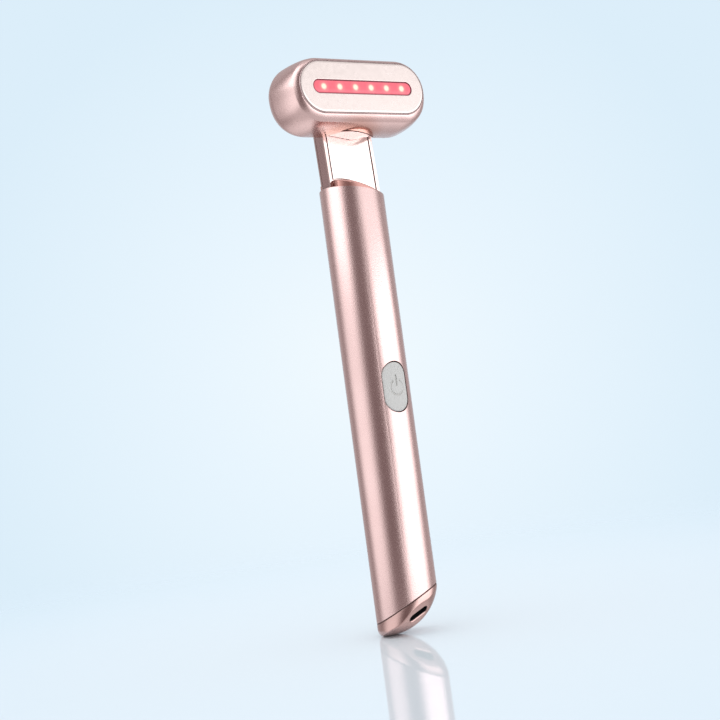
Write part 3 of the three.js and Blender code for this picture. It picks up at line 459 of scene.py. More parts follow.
def shape_with(obj, operation, tools):
    for tool in tools:
        modifier = obj.modifiers.new("shape", "BOOLEAN")
        modifier.operation = operation
        modifier.solver = "EXACT"
        modifier.object = tool
    bake(obj)
    for tool in tools:
        bpy.data.objects.remove(tool)
    return obj


def cut(obj, *tools):
    return shape_with(obj, "DIFFERENCE", tools)


def join(obj, *tools):
    return shape_with(obj, "UNION", tools)


def keep_inside(obj, *tools):
    return shape_with(obj, "INTERSECT", tools)


def soften(obj, width, segments=2, angle=35):
    modifier = obj.modifiers.new("edge", "BEVEL")
    modifier.width = width * MM
    modifier.segments = segments
    modifier.limit_method = "ANGLE"
    modifier.angle_limit = math.radians(angle)
    modifier.use_clamp_overlap = True
    return bake(obj)


def smooth(obj, angle=32, flats=False):
    """Smooth shading with sharp edges; with flats set, large flat faces look quite flat."""
    for polygon in obj.data.polygons:
        polygon.use_smooth = True
    obj.data.set_sharp_from_angle(angle=math.radians(angle))
    if flats:
        modifier = obj.modifiers.new("flats", "WEIGHTED_NORMAL")
        modifier.keep_sharp = True
        modifier.weight = 100
        bake(obj)


def finish_piece(obj, body, slot, *replaced, look=None, angle=32, flats=False):
    """Shades a piece, gives it its slot's finish or another look, and rides it on its body."""
    smooth(obj, angle, flats)
    obj.data.materials.clear()
    obj.data.materials.append(finish[look or slot])
    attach(obj, body)
    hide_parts(*replaced)


def copy_of(node, name):
    """A merged copy of a CAD node's mesh, so that its edges can be softened."""
    mesh = nodes[node].data.copy()
    mesh.name = name
    work = bmesh.new()
    work.from_mesh(mesh)
    bmesh.ops.remove_doubles(work, verts=work.verts, dist=1e-6)
    bmesh.ops.dissolve_limit(work, angle_limit=math.radians(0.5), verts=work.verts,
                             edges=work.edges)
    work.to_mesh(mesh)
    work.free()
    return link(name, mesh)


# Geometry Nodes: trees with named inputs, run once and left as plain meshes
def new_recipe(name, sizes):
    """A tree whose inputs are the named sizes; returns it with the values of those inputs."""
    tree = bpy.data.node_groups.new(name, "GeometryNodeTree")
    tree.interface.new_socket("Geometry", in_out="OUTPUT", socket_type="NodeSocketGeometry")
    for label, value in sizes.items():
        kind = "NodeSocketInt" if isinstance(value, int) else "NodeSocketFloat"
        tree.interface.new_socket(label, in_out="INPUT", socket_type=kind)
    tree.interface.new_socket("Finish", in_out="INPUT", socket_type="NodeSocketMaterial")
    outputs = tree.nodes.new("NodeGroupInput").outputs
    return tree, {label: Value(tree, outputs[label]) for label in sizes}


def geometry_node(tree, kind, settings=None, **values):
    """A node with its settings and inputs; an underscore in an input's name stands for a space."""
    node = tree.nodes.new("GeometryNode" + kind)
    for key, value in (settings or {}).items():
        setattr(node, key, value)
    for key, value in values.items():
        feed(tree, node.inputs[key.replace("_", " ")], value)
    return node


def vector_of(tree, x=0.0, y=0.0, z=0.0):
    return shader_node(tree, "CombineXYZ", x, y, z).outputs[0]


def pick(tree, index, choices):
    """The choice whose number is the index."""
    node = geometry_node(tree, "IndexSwitch", {"data_type": "FLOAT"})
    while len(node.index_switch_items) < len(choices):
        node.index_switch_items.new()
    for socket, value in zip(node.inputs, (index, *choices)):
        feed(tree, socket, value)
    return Value(tree, node.outputs[0])


def joined(tree, *parts):
    node = geometry_node(tree, "JoinGeometry")
    for part in parts:
        tree.links.new(part, node.inputs[0])
    return node.outputs[0]


def moved(tree, part, offset, scale=None):
    node = geometry_node(tree, "Transform", Geometry=part, Translation=offset)
    if scale is not None:
        feed(tree, node.inputs["Scale"], scale)
    return node.outputs[0]


def row_of(tree, part, count, pitch):
    """The part repeated along X, centred on the middle of the row."""
    line = geometry_node(tree, "MeshLine", Count=count, Offset=vector_of(tree, pitch),
                         Start_Location=vector_of(tree, (count - 1.0) * -0.5 * pitch))
    return geometry_node(tree, "InstanceOnPoints", Points=line.outputs[0],
                         Instance=part).outputs[0]


def grow(name, tree, part, sizes, material, matrix=None):
    """Ends the tree, runs it with its inputs set, and leaves one plain mesh in metres."""
    scaled = moved(tree, part, (0.0, 0.0, 0.0), (MM, MM, MM))
    real = geometry_node(tree, "RealizeInstances", Geometry=scaled)
    entry = next(node for node in tree.nodes if node.type == "GROUP_INPUT")
    paint = geometry_node(tree, "SetMaterial", Geometry=real.outputs[0],
                          Material=entry.outputs["Finish"])
    end = tree.nodes.new("NodeGroupOutput")
    tree.links.new(paint.outputs[0], end.inputs[0])
    obj = link(name, bpy.data.meshes.new(name))
    modifier = obj.modifiers.new("rule", "NODES")
    modifier.node_group = tree
    inputs = {item.name: item.identifier for item in tree.interface.items_tree
              if item.item_type == "SOCKET" and item.in_out == "INPUT"}
    for label, value in {**sizes, "Finish": material}.items():
        modifier[inputs[label]] = value
    bake(obj)
    mend(obj.data)
    if matrix is not None:
        obj.data.transform(matrix)
    return obj


# Handle sleeve: a wall profile turned round the axis, whose two ends slant by rule
def seam_height(raise_by=0.0):
    gx, gy = math.sin(SEAM_BEARING), -math.cos(SEAM_BEARING)
    return lambda x, y: SEAM_Z + SEAM_RISE * (gx * x + gy * y) + raise_by


def upright(normal_distance):
    """The height between two seam planes that are this far apart."""
    return normal_distance * math.sqrt(1 + SEAM_RISE ** 2)


SEAM_LIFT = upright(SEAM_GAP / 2)


def make_sleeve():
    sizes = {"Outer radius": TUBE_R, "Bore radius": TUBE_BORE, "Mouth radius": MOUTH_BORE,
             "Mouth depth": MOUTH_DEEP, "Edge rounding": RIM_EDGE, "Rim height": RIM_Z,
             "Rim fall": RIM_FALL, "Seam height": SEAM_Z + SEAM_LIFT, "Seam rise": SEAM_RISE,
             "Seam bearing": SEAM_BEARING, "Axis offset": AXIS_Y, "Facets": 192}
    tree, size = new_recipe("slanted_sleeve", sizes)
    outer, bore, mouth = (size[f"{part} radius"] for part in ("Outer", "Bore", "Mouth"))
    edge, rim, seam = size["Edge rounding"], size["Rim height"], size["Seam height"]
    third = edge * 0.3
    shoulder = rim - size["Mouth depth"]
    near_outer, inner_outer = outer - third, outer - edge
    rows = [
        (inner_outer, seam), (near_outer, seam + third), (outer, seam + edge),
        (outer, rim - edge), (near_outer, rim - third), (inner_outer, rim),
        (mouth + third, rim), (mouth, rim - third), (mouth, shoulder), (bore, shoulder),
        (bore, seam), (inner_outer, seam),
    ]
    grid = geometry_node(tree, "MeshGrid", Size_X=1.0, Size_Y=1.0, Vertices_Y=len(rows),
                         Vertices_X=size["Facets"] + 1.0)
    across, along, _ = axes_of(tree, geometry_node(tree, "InputPosition").outputs[0])
    turn = (across + 0.5) * (2 * math.pi)
    row = ((along + 0.5) * float(len(rows) - 1)).run("ROUND")
    radius, level = (pick(tree, row, column) for column in zip(*rows))
    x, y = radius * turn.run("COSINE"), radius * turn.run("SINE")
    at_rim = row.run("COMPARE", 5.0, 2.5)
    at_shoulder = row.run("COMPARE", 8.5, 0.6)
    at_seam = 1.0 - at_rim - at_shoulder
    bearing = size["Seam bearing"]
    uphill = x * bearing.run("SINE") - y * bearing.run("COSINE")
    height = level + at_seam * (uphill * size["Seam rise"]) - at_rim * (x * size["Rim fall"])
    placed = geometry_node(tree, "SetPosition", Geometry=grid.outputs[0],
                           Position=vector_of(tree, x, y + size["Axis offset"], height))
    return grow("handle_sleeve", tree, placed.outputs[0], sizes, finish["satin_rose"])


def button_cutter(name, half, inner, outer):
    return skin(name, [[(a, y + AXIS_Y, BUTTON_Z + l) for l, a in slot_ring(*half)]
                       for y in (-inner, -outer)])


tube = make_sleeve()
cut(tube, button_cutter("button_slot", shrunk(BUTTON_HALF, -BUTTON_GAP), 5, 12))
finish_piece(tube, "handle", "satin_rose", "handle_tube")


# Power button
def make_button():
    radius = TUBE_R + BUTTON_PROUD
    rings = []
    for inset, drop in ((0.0, 1.9), (0.0, 0.45), (0.06, 0.26), (0.18, 0.1), (0.4, 0.02),
                        (0.7, 0.0), (1.4, 0.0), (2.2, 0.0), (3.0, 0.0), (3.7, 0.0)):
        rings.append([(a, AXIS_Y + drop - math.sqrt(radius ** 2 - a ** 2), BUTTON_Z + l)
                      for l, a in slot_ring(*shrunk(BUTTON_HALF, inset), 168)])
    rings[0] = [(a, AXIS_Y - BUTTON_BACK, z) for a, _, z in rings[0]]
    return skin("button_cap", rings)


def icon_cutters():
    """A ring with an opening at the top, and a bar in the opening, both with round ends."""
    gap = math.radians(36)
    middle = BUTTON_Z - 0.2
    outline = []
    for side in (1, -1):
        for i in range(45):
            part = i / 44 if side > 0 else 1 - i / 44
            angle = math.pi / 2 + gap + part * (2 * math.pi - 2 * gap)
            radius = ICON_R + side * ICON_HALF_LINE
            outline.append((radius * math.cos(angle), radius * math.sin(angle)))
        end = math.pi / 2 - side * gap
        for i in range(1, 8):
            turn = end + math.pi * i / 8 + (0 if side > 0 else math.pi)
            outline.append((ICON_R * math.cos(end) + ICON_HALF_LINE * math.cos(turn),
                            ICON_R * math.sin(end) + ICON_HALF_LINE * math.sin(turn)))
    bar = [(a, l + 2.05) for l, a in slot_ring(1.7, ICON_HALF_LINE, 32)]
    floor = AXIS_Y - (TUBE_R + BUTTON_PROUD - ICON_DEEP)
    return [skin("icon", [[(x, y, middle + z) for x, z in shape] for y in (floor, floor - 3)])
            for shape in (outline, bar)]


button = make_button()
cut(button, *icon_cutters())
finish_piece(button, "button", "button_grey", "power_button", angle=40)

# Tail cap
TAIL_CENTRE = Vector((-math.sin(SEAM_BEARING) * 6.14, math.cos(SEAM_BEARING) * 6.14,
                      SEAM_Z + 7.43))
PORT_OUT = Vector((math.cos(PORT_TILT) * math.sin(PORT_BEARING),
                   -math.cos(PORT_TILT) * math.cos(PORT_BEARING), -math.sin(PORT_TILT)))
SEAM_UP = Vector((-SEAM_RISE * math.sin(SEAM_BEARING), SEAM_RISE * math.cos(SEAM_BEARING),
                  1)).normalized()
PORT_ALONG = SEAM_UP.cross(PORT_OUT).normalized()
PORT_ACROSS = PORT_ALONG.cross(PORT_OUT).normalized()
PORT_CENTRE = Vector((-0.94, -6.66, SEAM_Z - 2.75))


def soft_max(a, b, width):
    """The larger of two heights, with a round valley where they meet."""
    near = max(width - abs(a - b), 0.0) / width
    return max(a, b) + near * near * width * 0.25


def tail_height(x, y):
    """Underside of the tail: dome, resting flat, port flat, rounded at the rim."""
    away = (x - TAIL_CENTRE.x) ** 2 + (y - TAIL_CENTRE.y) ** 2
    height = TAIL_CENTRE.z - math.sqrt(max(TAIL_DOME_R ** 2 - away, 0.0))
    height = soft_max(height, 0.0, EDGE_BLEND)
    corner = math.hypot(x, y) - (TUBE_R - TAIL_CORNER)
    if corner > 0:
        rounding = TAIL_CORNER - math.sqrt(max(TAIL_CORNER ** 2 - corner * corner, 0.0))
        height = soft_max(height, rounding, EDGE_BLEND)
    flat = PORT_CENTRE.z - (PORT_OUT.x * (x - PORT_CENTRE.x)
                            + PORT_OUT.y * (y - PORT_CENTRE.y)) / PORT_OUT.z
    return soft_max(height, flat, PORT_BLEND)


def port_shape(name, levels):
    """A slot through the port flat; levels are (half length, half height, depth)."""
    rings = []
    for half_length, half_height, depth in levels:
        ring = []
        for along, across in slot_ring(half_length, half_height, 96):
            point = PORT_CENTRE + PORT_ALONG * along + PORT_ACROSS * across - PORT_OUT * depth
            ring.append((point.x, point.y + AXIS_Y, point.z))
        rings.append(ring)
    return skin(name, rings)


def tail_outside(name):
    seam = seam_height(-SEAM_LIFT)
    rings = [round_ring(0.02, seam), round_ring(TUBE_R - 0.12, seam),
             round_ring(TUBE_R - 0.03, lambda x, y: seam(x, y) - 0.03),
             round_ring(TUBE_R, lambda x, y: seam(x, y) - 0.12)]
    edge = 0.35
    for step in range(7):
        turn = step / 6 * math.pi / 2
        lift = edge * (1 - math.sin(turn))
        rings.append(round_ring(TUBE_R - edge + edge * math.cos(turn),
                                lambda x, y, lift=lift: tail_height(x, y) + lift))
    radius = TUBE_R - edge
    while radius > 0.25:
        radius -= 0.22
        rings.append(round_ring(max(radius, 0.02), tail_height))
    return skin(name, rings)


def make_tail():
    """A cup with a spigot that enters the sleeve, and a block inside that holds the socket."""
    tail = tail_outside("tail_dome")
    spigot = skin("spigot", [round_ring(SPIGOT_R, seam_height(-1.0)),
                             round_ring(SPIGOT_R, seam_height(upright(SPIGOT_TALL)))])
    radii = [TAIL_BORE * step / 20 for step in range(20, 0, -1)] + [0.02]
    hollow = skin("hollow", [round_ring(TAIL_BORE, 30.0)] + [
        round_ring(radius, lambda x, y: tail_height(x, y) + TAIL_FLOOR) for radius in radii])
    block = port_shape("port_block", (PORT_BLOCK_HALF + (0.7,), PORT_BLOCK_HALF + (5.2,)))
    keep_inside(block, tail_outside("limit"))
    opening = port_shape("opening", (
        shrunk(PORT_HALF, -0.42) + (-0.4,), shrunk(PORT_HALF, -0.42) + (-0.02,),
        shrunk(PORT_HALF, -0.12) + (0.16,), PORT_HALF + (0.4,), PORT_HALF + (TAIL_WALL + 0.1,)))
    pocket = port_shape("pocket", (SOCKET_HALF + (TAIL_WALL,), SOCKET_HALF + (SOCKET_DEEP,)))
    join(tail, spigot)
    cut(tail, hollow)
    join(tail, block)
    return cut(tail, opening, pocket)


finish_piece(make_tail(), "handle", "tail_rose", "tail_cap", angle=38)


def make_socket_insert():
    """Black lining of the opening, in one piece with the tongue inside the socket."""
    near, far = shrunk(PORT_HALF, 0.02), shrunk(PORT_HALF, 0.16)
    lining = port_shape("lining", (near + (0.3,), near + (TAIL_WALL + 1.2,)))
    cut(lining, port_shape("lining_hole", (far + (0.2,), far + (TAIL_WALL + 1.0,))))
    return join(lining, port_shape("tongue", ((2.5, 0.3, 2.4), (2.5, 0.3, TAIL_WALL + 1.1))))


finish_piece(make_socket_insert(), "handle", "black_plastic", "usb_tongue")

half_seal = SEAM_LIFT - 0.05
seal = skin("seam_seal", [round_ring(TUBE_R - inset, seam_height(lift)) for inset, lift in (
    (0.1, half_seal), (0.75, half_seal), (0.75, -half_seal), (0.1, -half_seal))], loop=True)
finish_piece(seal, "handle", "black_rubber", "tail_gasket", look="seal_brown")


# Head casing: a barrel that swells from the plate's outline and rounds off behind
def barrel_section(depth, inset):
    front = depth < CROWN_DEEP
    if front:
        run, fullness = 1 - depth / CROWN_DEEP, FRONT_FULLNESS
    else:
        run, fullness = (depth - CROWN_DEEP) / (HEAD_DEEP - CROWN_DEEP), BACK_FULLNESS
    rise = max(0.0, 1 - run ** fullness) ** (1 / fullness)
    crown = PLATE_HALF[1] + SWELL_UP
    if front:
        length = PLATE_HALF[0] + SWELL_SIDE * rise
        top = PLATE_HALF[1] + SWELL_UP * rise
        bottom = PLATE_HALF[1] + SWELL_DOWN * rise
    else:
        length = PLATE_HALF[0] + SWELL_SIDE - (1 - rise) * crown
        top = crown * rise
        bottom = (PLATE_HALF[1] + SWELL_DOWN) * rise
    return length - inset, top - inset, bottom - inset, 2 + 0.35 * rise


def barrel_ring(depth, inset, count):
    """One section; its lower corners are fuller than its upper ones."""
    length, top, bottom, corner = barrel_section(depth, inset)
    end = (top + bottom) / 2
    ring = []
    for i in range(count):
        angle = 2 * math.pi * (i + 0.5) / count
        across, up = math.cos(angle), math.sin(angle)
        power = 1 if up > 0 else 2 / corner
        reach = abs(across) ** power * end + length - end
        height = abs(up) ** power * (top if up > 0 else -bottom)
        ring.append((math.copysign(reach, across), depth - FACE_REACH, HEAD_Z + height))
    return ring


def barrel_rings(start, end, front_steps, back_steps, closeness, inset, count):
    """Sections from a start to the crown, then on to the end, closer where they curve more."""
    depths = [start + (CROWN_DEEP - start) * (step / front_steps) ** closeness
              for step in range(front_steps)]
    depths += [CROWN_DEEP + (end - CROWN_DEEP) * math.sin(step / back_steps * math.pi / 2)
               for step in range(back_steps + 1)]
    return [barrel_ring(depth, inset, count) for depth in depths]


def head_round(name, radius, low, high, count=144):
    return prism(name, circle(radius, count), low, high, HEAD_PLACE)


def boss_edge(x, y):
    """Height of the boss's rim: it falls to the right and climbs towards the back."""
    right = min(max((x - 1) / 6, 0.0), 1.0)
    right *= right * (3 - 2 * right)
    return (BOSS_Z - BOSS_FALL * x
            + BOSS_CLIMB_LEFT * (1 - right) * max(y + NECK_HALF[1], 0.0)
            + BOSS_CLIMB_RIGHT * right * max(y + 8, 0.0))


def boss_circle(radius, count=144):
    """The boss's outline, a little flatter behind."""
    return [(x, y if y < 0 else y * BOSS_FLATTER) for x, y in circle(radius, count)]


def rim_disc(name, radius, low, high, count=120):
    """A round block of the head; a height given as a tuple is measured from the boss's rim."""
    def ring(pull, level):
        return [(x * pull, y * pull,
                 level if isinstance(level, (int, float)) else boss_edge(x * pull, y * pull)
                 + level[0]) for x, y in boss_circle(radius, count)]
    pulls = [0.003] + [step / 10 for step in range(1, 11)]
    return skin(name, [ring(pull, low) for pull in pulls]
                + [ring(pull, high) for pull in reversed(pulls)], matrix=HEAD_PLACE)


def lip_ring(part, count):
    """A ring of the rounded lip, from the plate's opening (0) to the barrel (1)."""
    outer = barrel_ring(LIP_BACK, 0.0, count)
    ring = []
    for (x, _, z), (along, across) in zip(outer, slot_ring(*LIP_OPENING, count)):
        depth = LIP_FRONT + (LIP_BACK - LIP_FRONT) * (0.55 * part + 0.45 * part * part)
        ring.append((along + (x - along) * part, depth - FACE_REACH,
                     HEAD_Z + across + (z - HEAD_Z - across) * part))
    return ring


def make_shell():
    count = 176
    rings = [face_ring(*shrunk(LIP_OPENING, 0.6), LIP_FRONT, count)]
    rings += [lip_ring(step / 8, count) for step in range(8)]
    rings += barrel_rings(LIP_BACK, HEAD_END, 16, 26, 1.3, 0.0, count)
    shell = skin("head_casing", rings, matrix=HEAD_PLACE)
    outline = boss_circle(BOSS_R)
    start = BOSS_JOINT + BOSS_GROOVE
    rings = [[(x * (1 - pull / BOSS_R), y * (1 - pull / BOSS_R), boss_edge(x, y) + start + lift)
              for x, y in outline] for pull, lift in ((0.8, 0.0), (0.08, 0.0), (0.02, 0.02),
                                                      (0.0, 0.08))]
    for step in range(15):
        turn = step / 15 * math.pi / 2
        rings.append([(x * math.cos(turn), y * math.cos(turn), shoulder
                       + (BOSS_TOP - shoulder) * math.sin(turn)) for x, y in outline
                      for shoulder in (max(BOSS_SHOULDER, boss_edge(x, y) + start + 0.3),)])
    join(shell, skin("boss", rings, matrix=HEAD_PLACE))
    cut(shell, skin("hollow", barrel_rings(2.8, HEAD_DEEP - 2.9, 8, 10, 1.5, 1.5, 72),
                    matrix=HEAD_PLACE))
    join(shell, rim_disc("boss_floor", BOSS_FLOOR_R, (start + 0.01,), BOSS_FLOOR_TOP))
    opening = skin("opening", [face_ring(*LIP_OPENING, depth) for depth in (-2, 1.7)],
                   matrix=HEAD_PLACE)
    rear = skin("rear", [face_ring(20.9, 6.8, depth) for depth in (0, 3.7)], matrix=HEAD_PLACE)
    skirt = head_round("skirt", BOSS_R - BOSS_WALL, 11, 19.2)
    bore = head_round("bore", SPINDLE_BORE, 18, 22, 64)
    pocket = head_round("pocket", NUT_POCKET_R, 21, 23.2, 64)
    return cut(shell, opening, rear, skirt, bore, pocket)


def make_casing_painted_reflection_material():
    """The satin finish, with a painted coppery reflection and shade towards the boss."""
    material = finish["satin_rose"].copy()
    material.name = "satin_rose_casing_painted_reflection"
    tree = material.node_tree
    shader = next(n for n in tree.nodes if n.type == "BSDF_PRINCIPLED")
    socket = shader.inputs["Base Color"]
    plain = socket.links[0].from_socket
    # Painted reflection and shade: a darker coppery tint around a point by the boss's left side.
    near = compare(tree, "DISTANCE", object_coordinates(tree), head_point(-2, -3, BOSS_Z + 1.5))
    feed(tree, socket, blend_colours(tree, near.spread(0.85, 0.0, 0.0075, 0.0135), plain,
                                     (0.60, 0.33, 0.27, 1)))
    return material


finish["casing"] = make_casing_painted_reflection_material()
finish["red_window"] = make_window_material()
finish_piece(make_shell(), "head", "satin_rose", "head_shell", look="casing", angle=30)

# Plate, the mauve chamfer round it, and the light bar
def face_skin(name, plate_steps, window_steps, last_steps=(), loop=False):
    """A skin over (inset, depth) steps from the plate's outline, the window's and the plate's."""
    steps = [(half, step) for half, group in (
        (PLATE_HALF, plate_steps), (WINDOW_HALF, window_steps), (PLATE_HALF, last_steps))
        for step in group]
    return skin(name, [face_ring(*shrunk(half, inset), depth) for half, (inset, depth) in steps],
                loop=loop, matrix=HEAD_PLACE)


bezel = face_skin(
    "plate_bezel", ((-0.1, 0.2), (-0.17, 0.24), (-0.25, 0.4), (-0.28, 0.8), (-0.28, 1.65),
                    (1.05, 1.65), (1.05, 3.35)),
    ((-1.15, 3.35), (-1.15, 1.05)), ((-0.06, 1.05), (-0.06, 0.22)), loop=True)
finish_piece(bezel, "head", "insulator_rose", "plate_insulator")

plate = face_skin(
    "treatment_plate", ((0.0, 1.0), (0.0, 0.42), (0.03, 0.24), (0.12, 0.1), (0.27, 0.03),
                        (0.55, 0.0), (0.65, 0.0)),
    ((-0.17, 0.0), (-0.07, 0.0), (-0.02, 0.02), (0.0, 0.08), (0.0, 1.0)), loop=True)
finish_piece(plate, "head", "plate_rose", "contact_plate", flats=True)

window = face_skin(
    "light_bar", (), ((-0.95, 1.65), (-0.95, 1.05), (0.15, 1.05), (0.15, 0.5), (0.25, 0.28),
                      (0.4, 0.16), (0.6, 0.12), (1.65, 0.12)))
finish_piece(window, "head", "red_window", "light_window")


# Neck body with its framed panels, and the domed trims in the handle's mouth
def trim_top(radius, x):
    """Top of the trim over the rim's centre: a dome, higher towards the left."""
    return (TRIM_PROUD - RIM_FALL * x + TRIM_CROWN * (1 - (radius / COLLAR_R) ** 2)
            + 0.006 * (x - 9) ** 2)


def neck_box(name, half_x, half_y, low, high, middle=(0, 0)):
    corners = ((-1, -1), (1, -1), (1, 1), (-1, 1))
    return prism(name, [(middle[0] + x * half_x, middle[1] + y * half_y) for x, y in corners],
                 low, high, HEAD_PLACE)


def neck_inlay(name, side, half, front, back):
    """A block in one of the neck's recesses, from the trim up to the boss."""
    turn = Matrix.Rotation(math.radians({"front": 0, "right": 90, "back": 180, "left": 270}[side]),
                           3, "Z")
    wide = side in ("front", "back")
    face = NECK_HALF[1] if wide else NECK_HALF[0]

    def foot(x, y):
        if wide:
            return trim_top(math.hypot(x, y + math.copysign(0.2, y)), x) + 0.3
        return TRIM_PROUD - RIM_FALL * x + 0.45
    steps = [half * (step / 12 - 1) for step in range(25)]
    rings = []
    for depth in (front, back):
        line = [turn @ Vector((x, depth - face, 0)) for x in steps]
        rings.append([(p.x, p.y, foot(p.x, p.y)) for p in line]
                     + [(p.x, p.y, boss_edge(p.x, p.y) - 0.02) for p in reversed(line)])
    return skin(name, rings, matrix=HEAD_PLACE)


def make_neck():
    neck = copy_of("neck_frame", "neck_body")
    clear = cut(rim_disc("clear", 9.4, 12.6, (0.0,)), neck_box("slab", *NECK_HALF, 10, 24))
    cut(neck, clear)
    join(neck, keep_inside(neck_box("slab_top", *NECK_HALF, 9.0, 22),
                           rim_disc("limit", 12.0, 5.0, (0.08,))))
    wide, deep = PANEL_HALF
    reach = [half - PANEL_DEEP + 1 for half in NECK_HALF]
    recesses = [
        neck_box("recess", half_x, half_y, low, 22, (x_side * reach[0], y_side * reach[1]))
        for x_side, y_side, half_x, half_y, low in (
            (0, -1, wide, 1, -1.2), (0, 1, wide, 1, -1.2), (-1, 0, 1, deep, 3.8),
            (1, 0, 1, deep, 0.2))]
    cut(neck, *recesses)
    soften(neck, 0.12, 3)
    return neck


flange = rim_disc("swivel_flange", BOSS_R - 0.06, (0.01,), (BOSS_JOINT,))
finish_piece(flange, "head", "polished_rose", look="satin_rose", angle=30)
finish_piece(make_neck(), "head", "polished_rose", "neck_frame", angle=30, flats=True)
# Front and back panels take a lighter copy of the neck's rose gold (painted highlight), the side panels a darker
# one (painted shade).
for side, half, gap, look, backing_shade_look in (
        ("front", PANEL_HALF[0], PANEL_GAP, "panel_rose", "seal_brown"),
        ("back", PANEL_HALF[0], PANEL_GAP, "panel_rose", "seal_brown"),
        ("left", PANEL_HALF[1], SIDE_PANEL_GAP, "side_rose", "side_rose"),
        ("right", PANEL_HALF[1], SIDE_PANEL_GAP, "side_rose", "side_rose")):
    panel = neck_inlay(f"neck_inlay_{side}", side, half - gap, 0.05, 0.15)
    finish_piece(soften(panel, 0.03), "head", "polished_rose", f"neck_panel_{side}", look=look,
                 angle=30, flats=True)
    # Painted shade: a dark backing sheet behind the panel's gap.
    backing = neck_inlay(f"inlay_painted_shade_{side}", side, half - 0.02, 0.16, PANEL_DEEP - 0.02)
    slot = "black_rubber" if look == "panel_rose" else "polished_rose"
    finish_piece(backing, "head", slot, look=backing_shade_look)

# Painted shade: a dark brown ring in the groove under the boss's edge, for the shade in that gap.
shade_ring_foot, shade_ring_top = BOSS_JOINT + 0.02, BOSS_JOINT + BOSS_GROOVE - 0.02
boss_painted_shade_ring = skin("boss_painted_shade_ring", [
    [(x, y, boss_edge(x, y) + lift) for x, y in boss_circle(radius)]
    for radius, lift in ((BOSS_R - 0.12, shade_ring_foot), (BOSS_R - 0.75, shade_ring_foot),
                         (BOSS_R - 0.75, shade_ring_top), (BOSS_R - 0.12, shade_ring_top))
], loop=True, matrix=HEAD_PLACE)
finish_piece(boss_painted_shade_ring, "head", "black_rubber", look="seal_brown")


def make_trim(name, side):
    rings = [round_ring(COLLAR_R, RIM_Z - TRIM_LOW, 144),
             round_ring(COLLAR_R, lambda x, y: RIM_Z + trim_top(COLLAR_R, x) - 0.1, 144)]
    for step in range(25):
        radius = (COLLAR_R - 0.06) * math.cos(step / 25 * math.pi / 2)
        rings.append(round_ring(
            radius, lambda x, y, radius=radius: RIM_Z + trim_top(radius, x), 144))
    trim = skin(name, rings)
    near, far = NECK_HALF[1] + TRIM_GAP, 20
    keep_inside(trim, neck_box("side_box", PANEL_HALF[0] - 0.1, (far - near) / 2, -40, 40,
                               (0, side * (near + far) / 2)))
    return soften(trim, 0.08, 2, 50)


for word, side in (("front", -1), ("back", 1)):
    finish_piece(make_trim(f"domed_trim_{word}", side), "head", "copper_rose", f"trim_{word}",
                 angle=30)


# Light points, screws and the coil repeat, so Geometry Nodes make them
def make_light_row():
    sizes = {"Count": 6, "Pitch": LED_PITCH, "Width": 2.2, "Height": 1.8, "Body depth": 0.55,
             "Lens radius": 0.72, "Lens depth": 0.33}
    tree, size = new_recipe("light_row", sizes)
    block = geometry_node(tree, "MeshCube", Size=vector_of(
        tree, size["Width"], size["Body depth"], size["Height"]))
    lens = geometry_node(tree, "MeshUVSphere", Segments=20, Rings=12, Radius=size["Lens radius"])
    dome = moved(tree, lens.outputs[0], vector_of(tree, 0.0, size["Body depth"] * -0.5),
                 vector_of(tree, 1.0, size["Lens depth"] / size["Lens radius"], 1.0))
    chip = joined(tree, block.outputs[0], dome)
    row = row_of(tree, chip, size["Count"], size["Pitch"])
    place = HEAD_PLACE @ Matrix.Translation(Vector((0, LED_BEHIND - FACE_REACH, HEAD_Z)) * MM)
    return grow("light_points", tree, row, sizes, finish["led_white"], place)


def make_screws(name, place, pitch, shank_radius, shank_length, head_radius, head_height):
    """Two slotted screws in a row; the head's underside is at height 0 and the shank below."""
    sizes = {"Count": 2, "Pitch": pitch, "Shank radius": shank_radius,
             "Shank length": shank_length, "Head radius": head_radius,
             "Head height": head_height, "Slot width": head_radius * 0.3}
    tree, size = new_recipe(name, sizes)

    def rod(radius, length, middle):
        body = geometry_node(tree, "MeshCylinder", Vertices=32, Radius=radius, Depth=length)
        return moved(tree, body.outputs["Mesh"], vector_of(tree, 0.0, 0.0, middle))

    height = size["Head height"]
    shank = rod(size["Shank radius"], size["Shank length"], size["Shank length"] * -0.49)
    head = rod(size["Head radius"], height, height * 0.5)
    groove = geometry_node(tree, "MeshCube", Size=vector_of(
        tree, size["Slot width"], size["Head radius"] * 3.0, height))
    raised = moved(tree, groove.outputs[0], vector_of(tree, 0.0, 0.0, height))
    slotted = geometry_node(tree, "MeshBoolean", {"operation": "DIFFERENCE"}, Mesh_1=head,
                            Mesh_2=raised)
    screw = joined(tree, shank, slotted.outputs[0])
    row = row_of(tree, screw, size["Count"], size["Pitch"])
    return grow(name, tree, row, sizes, finish["steel"], place)


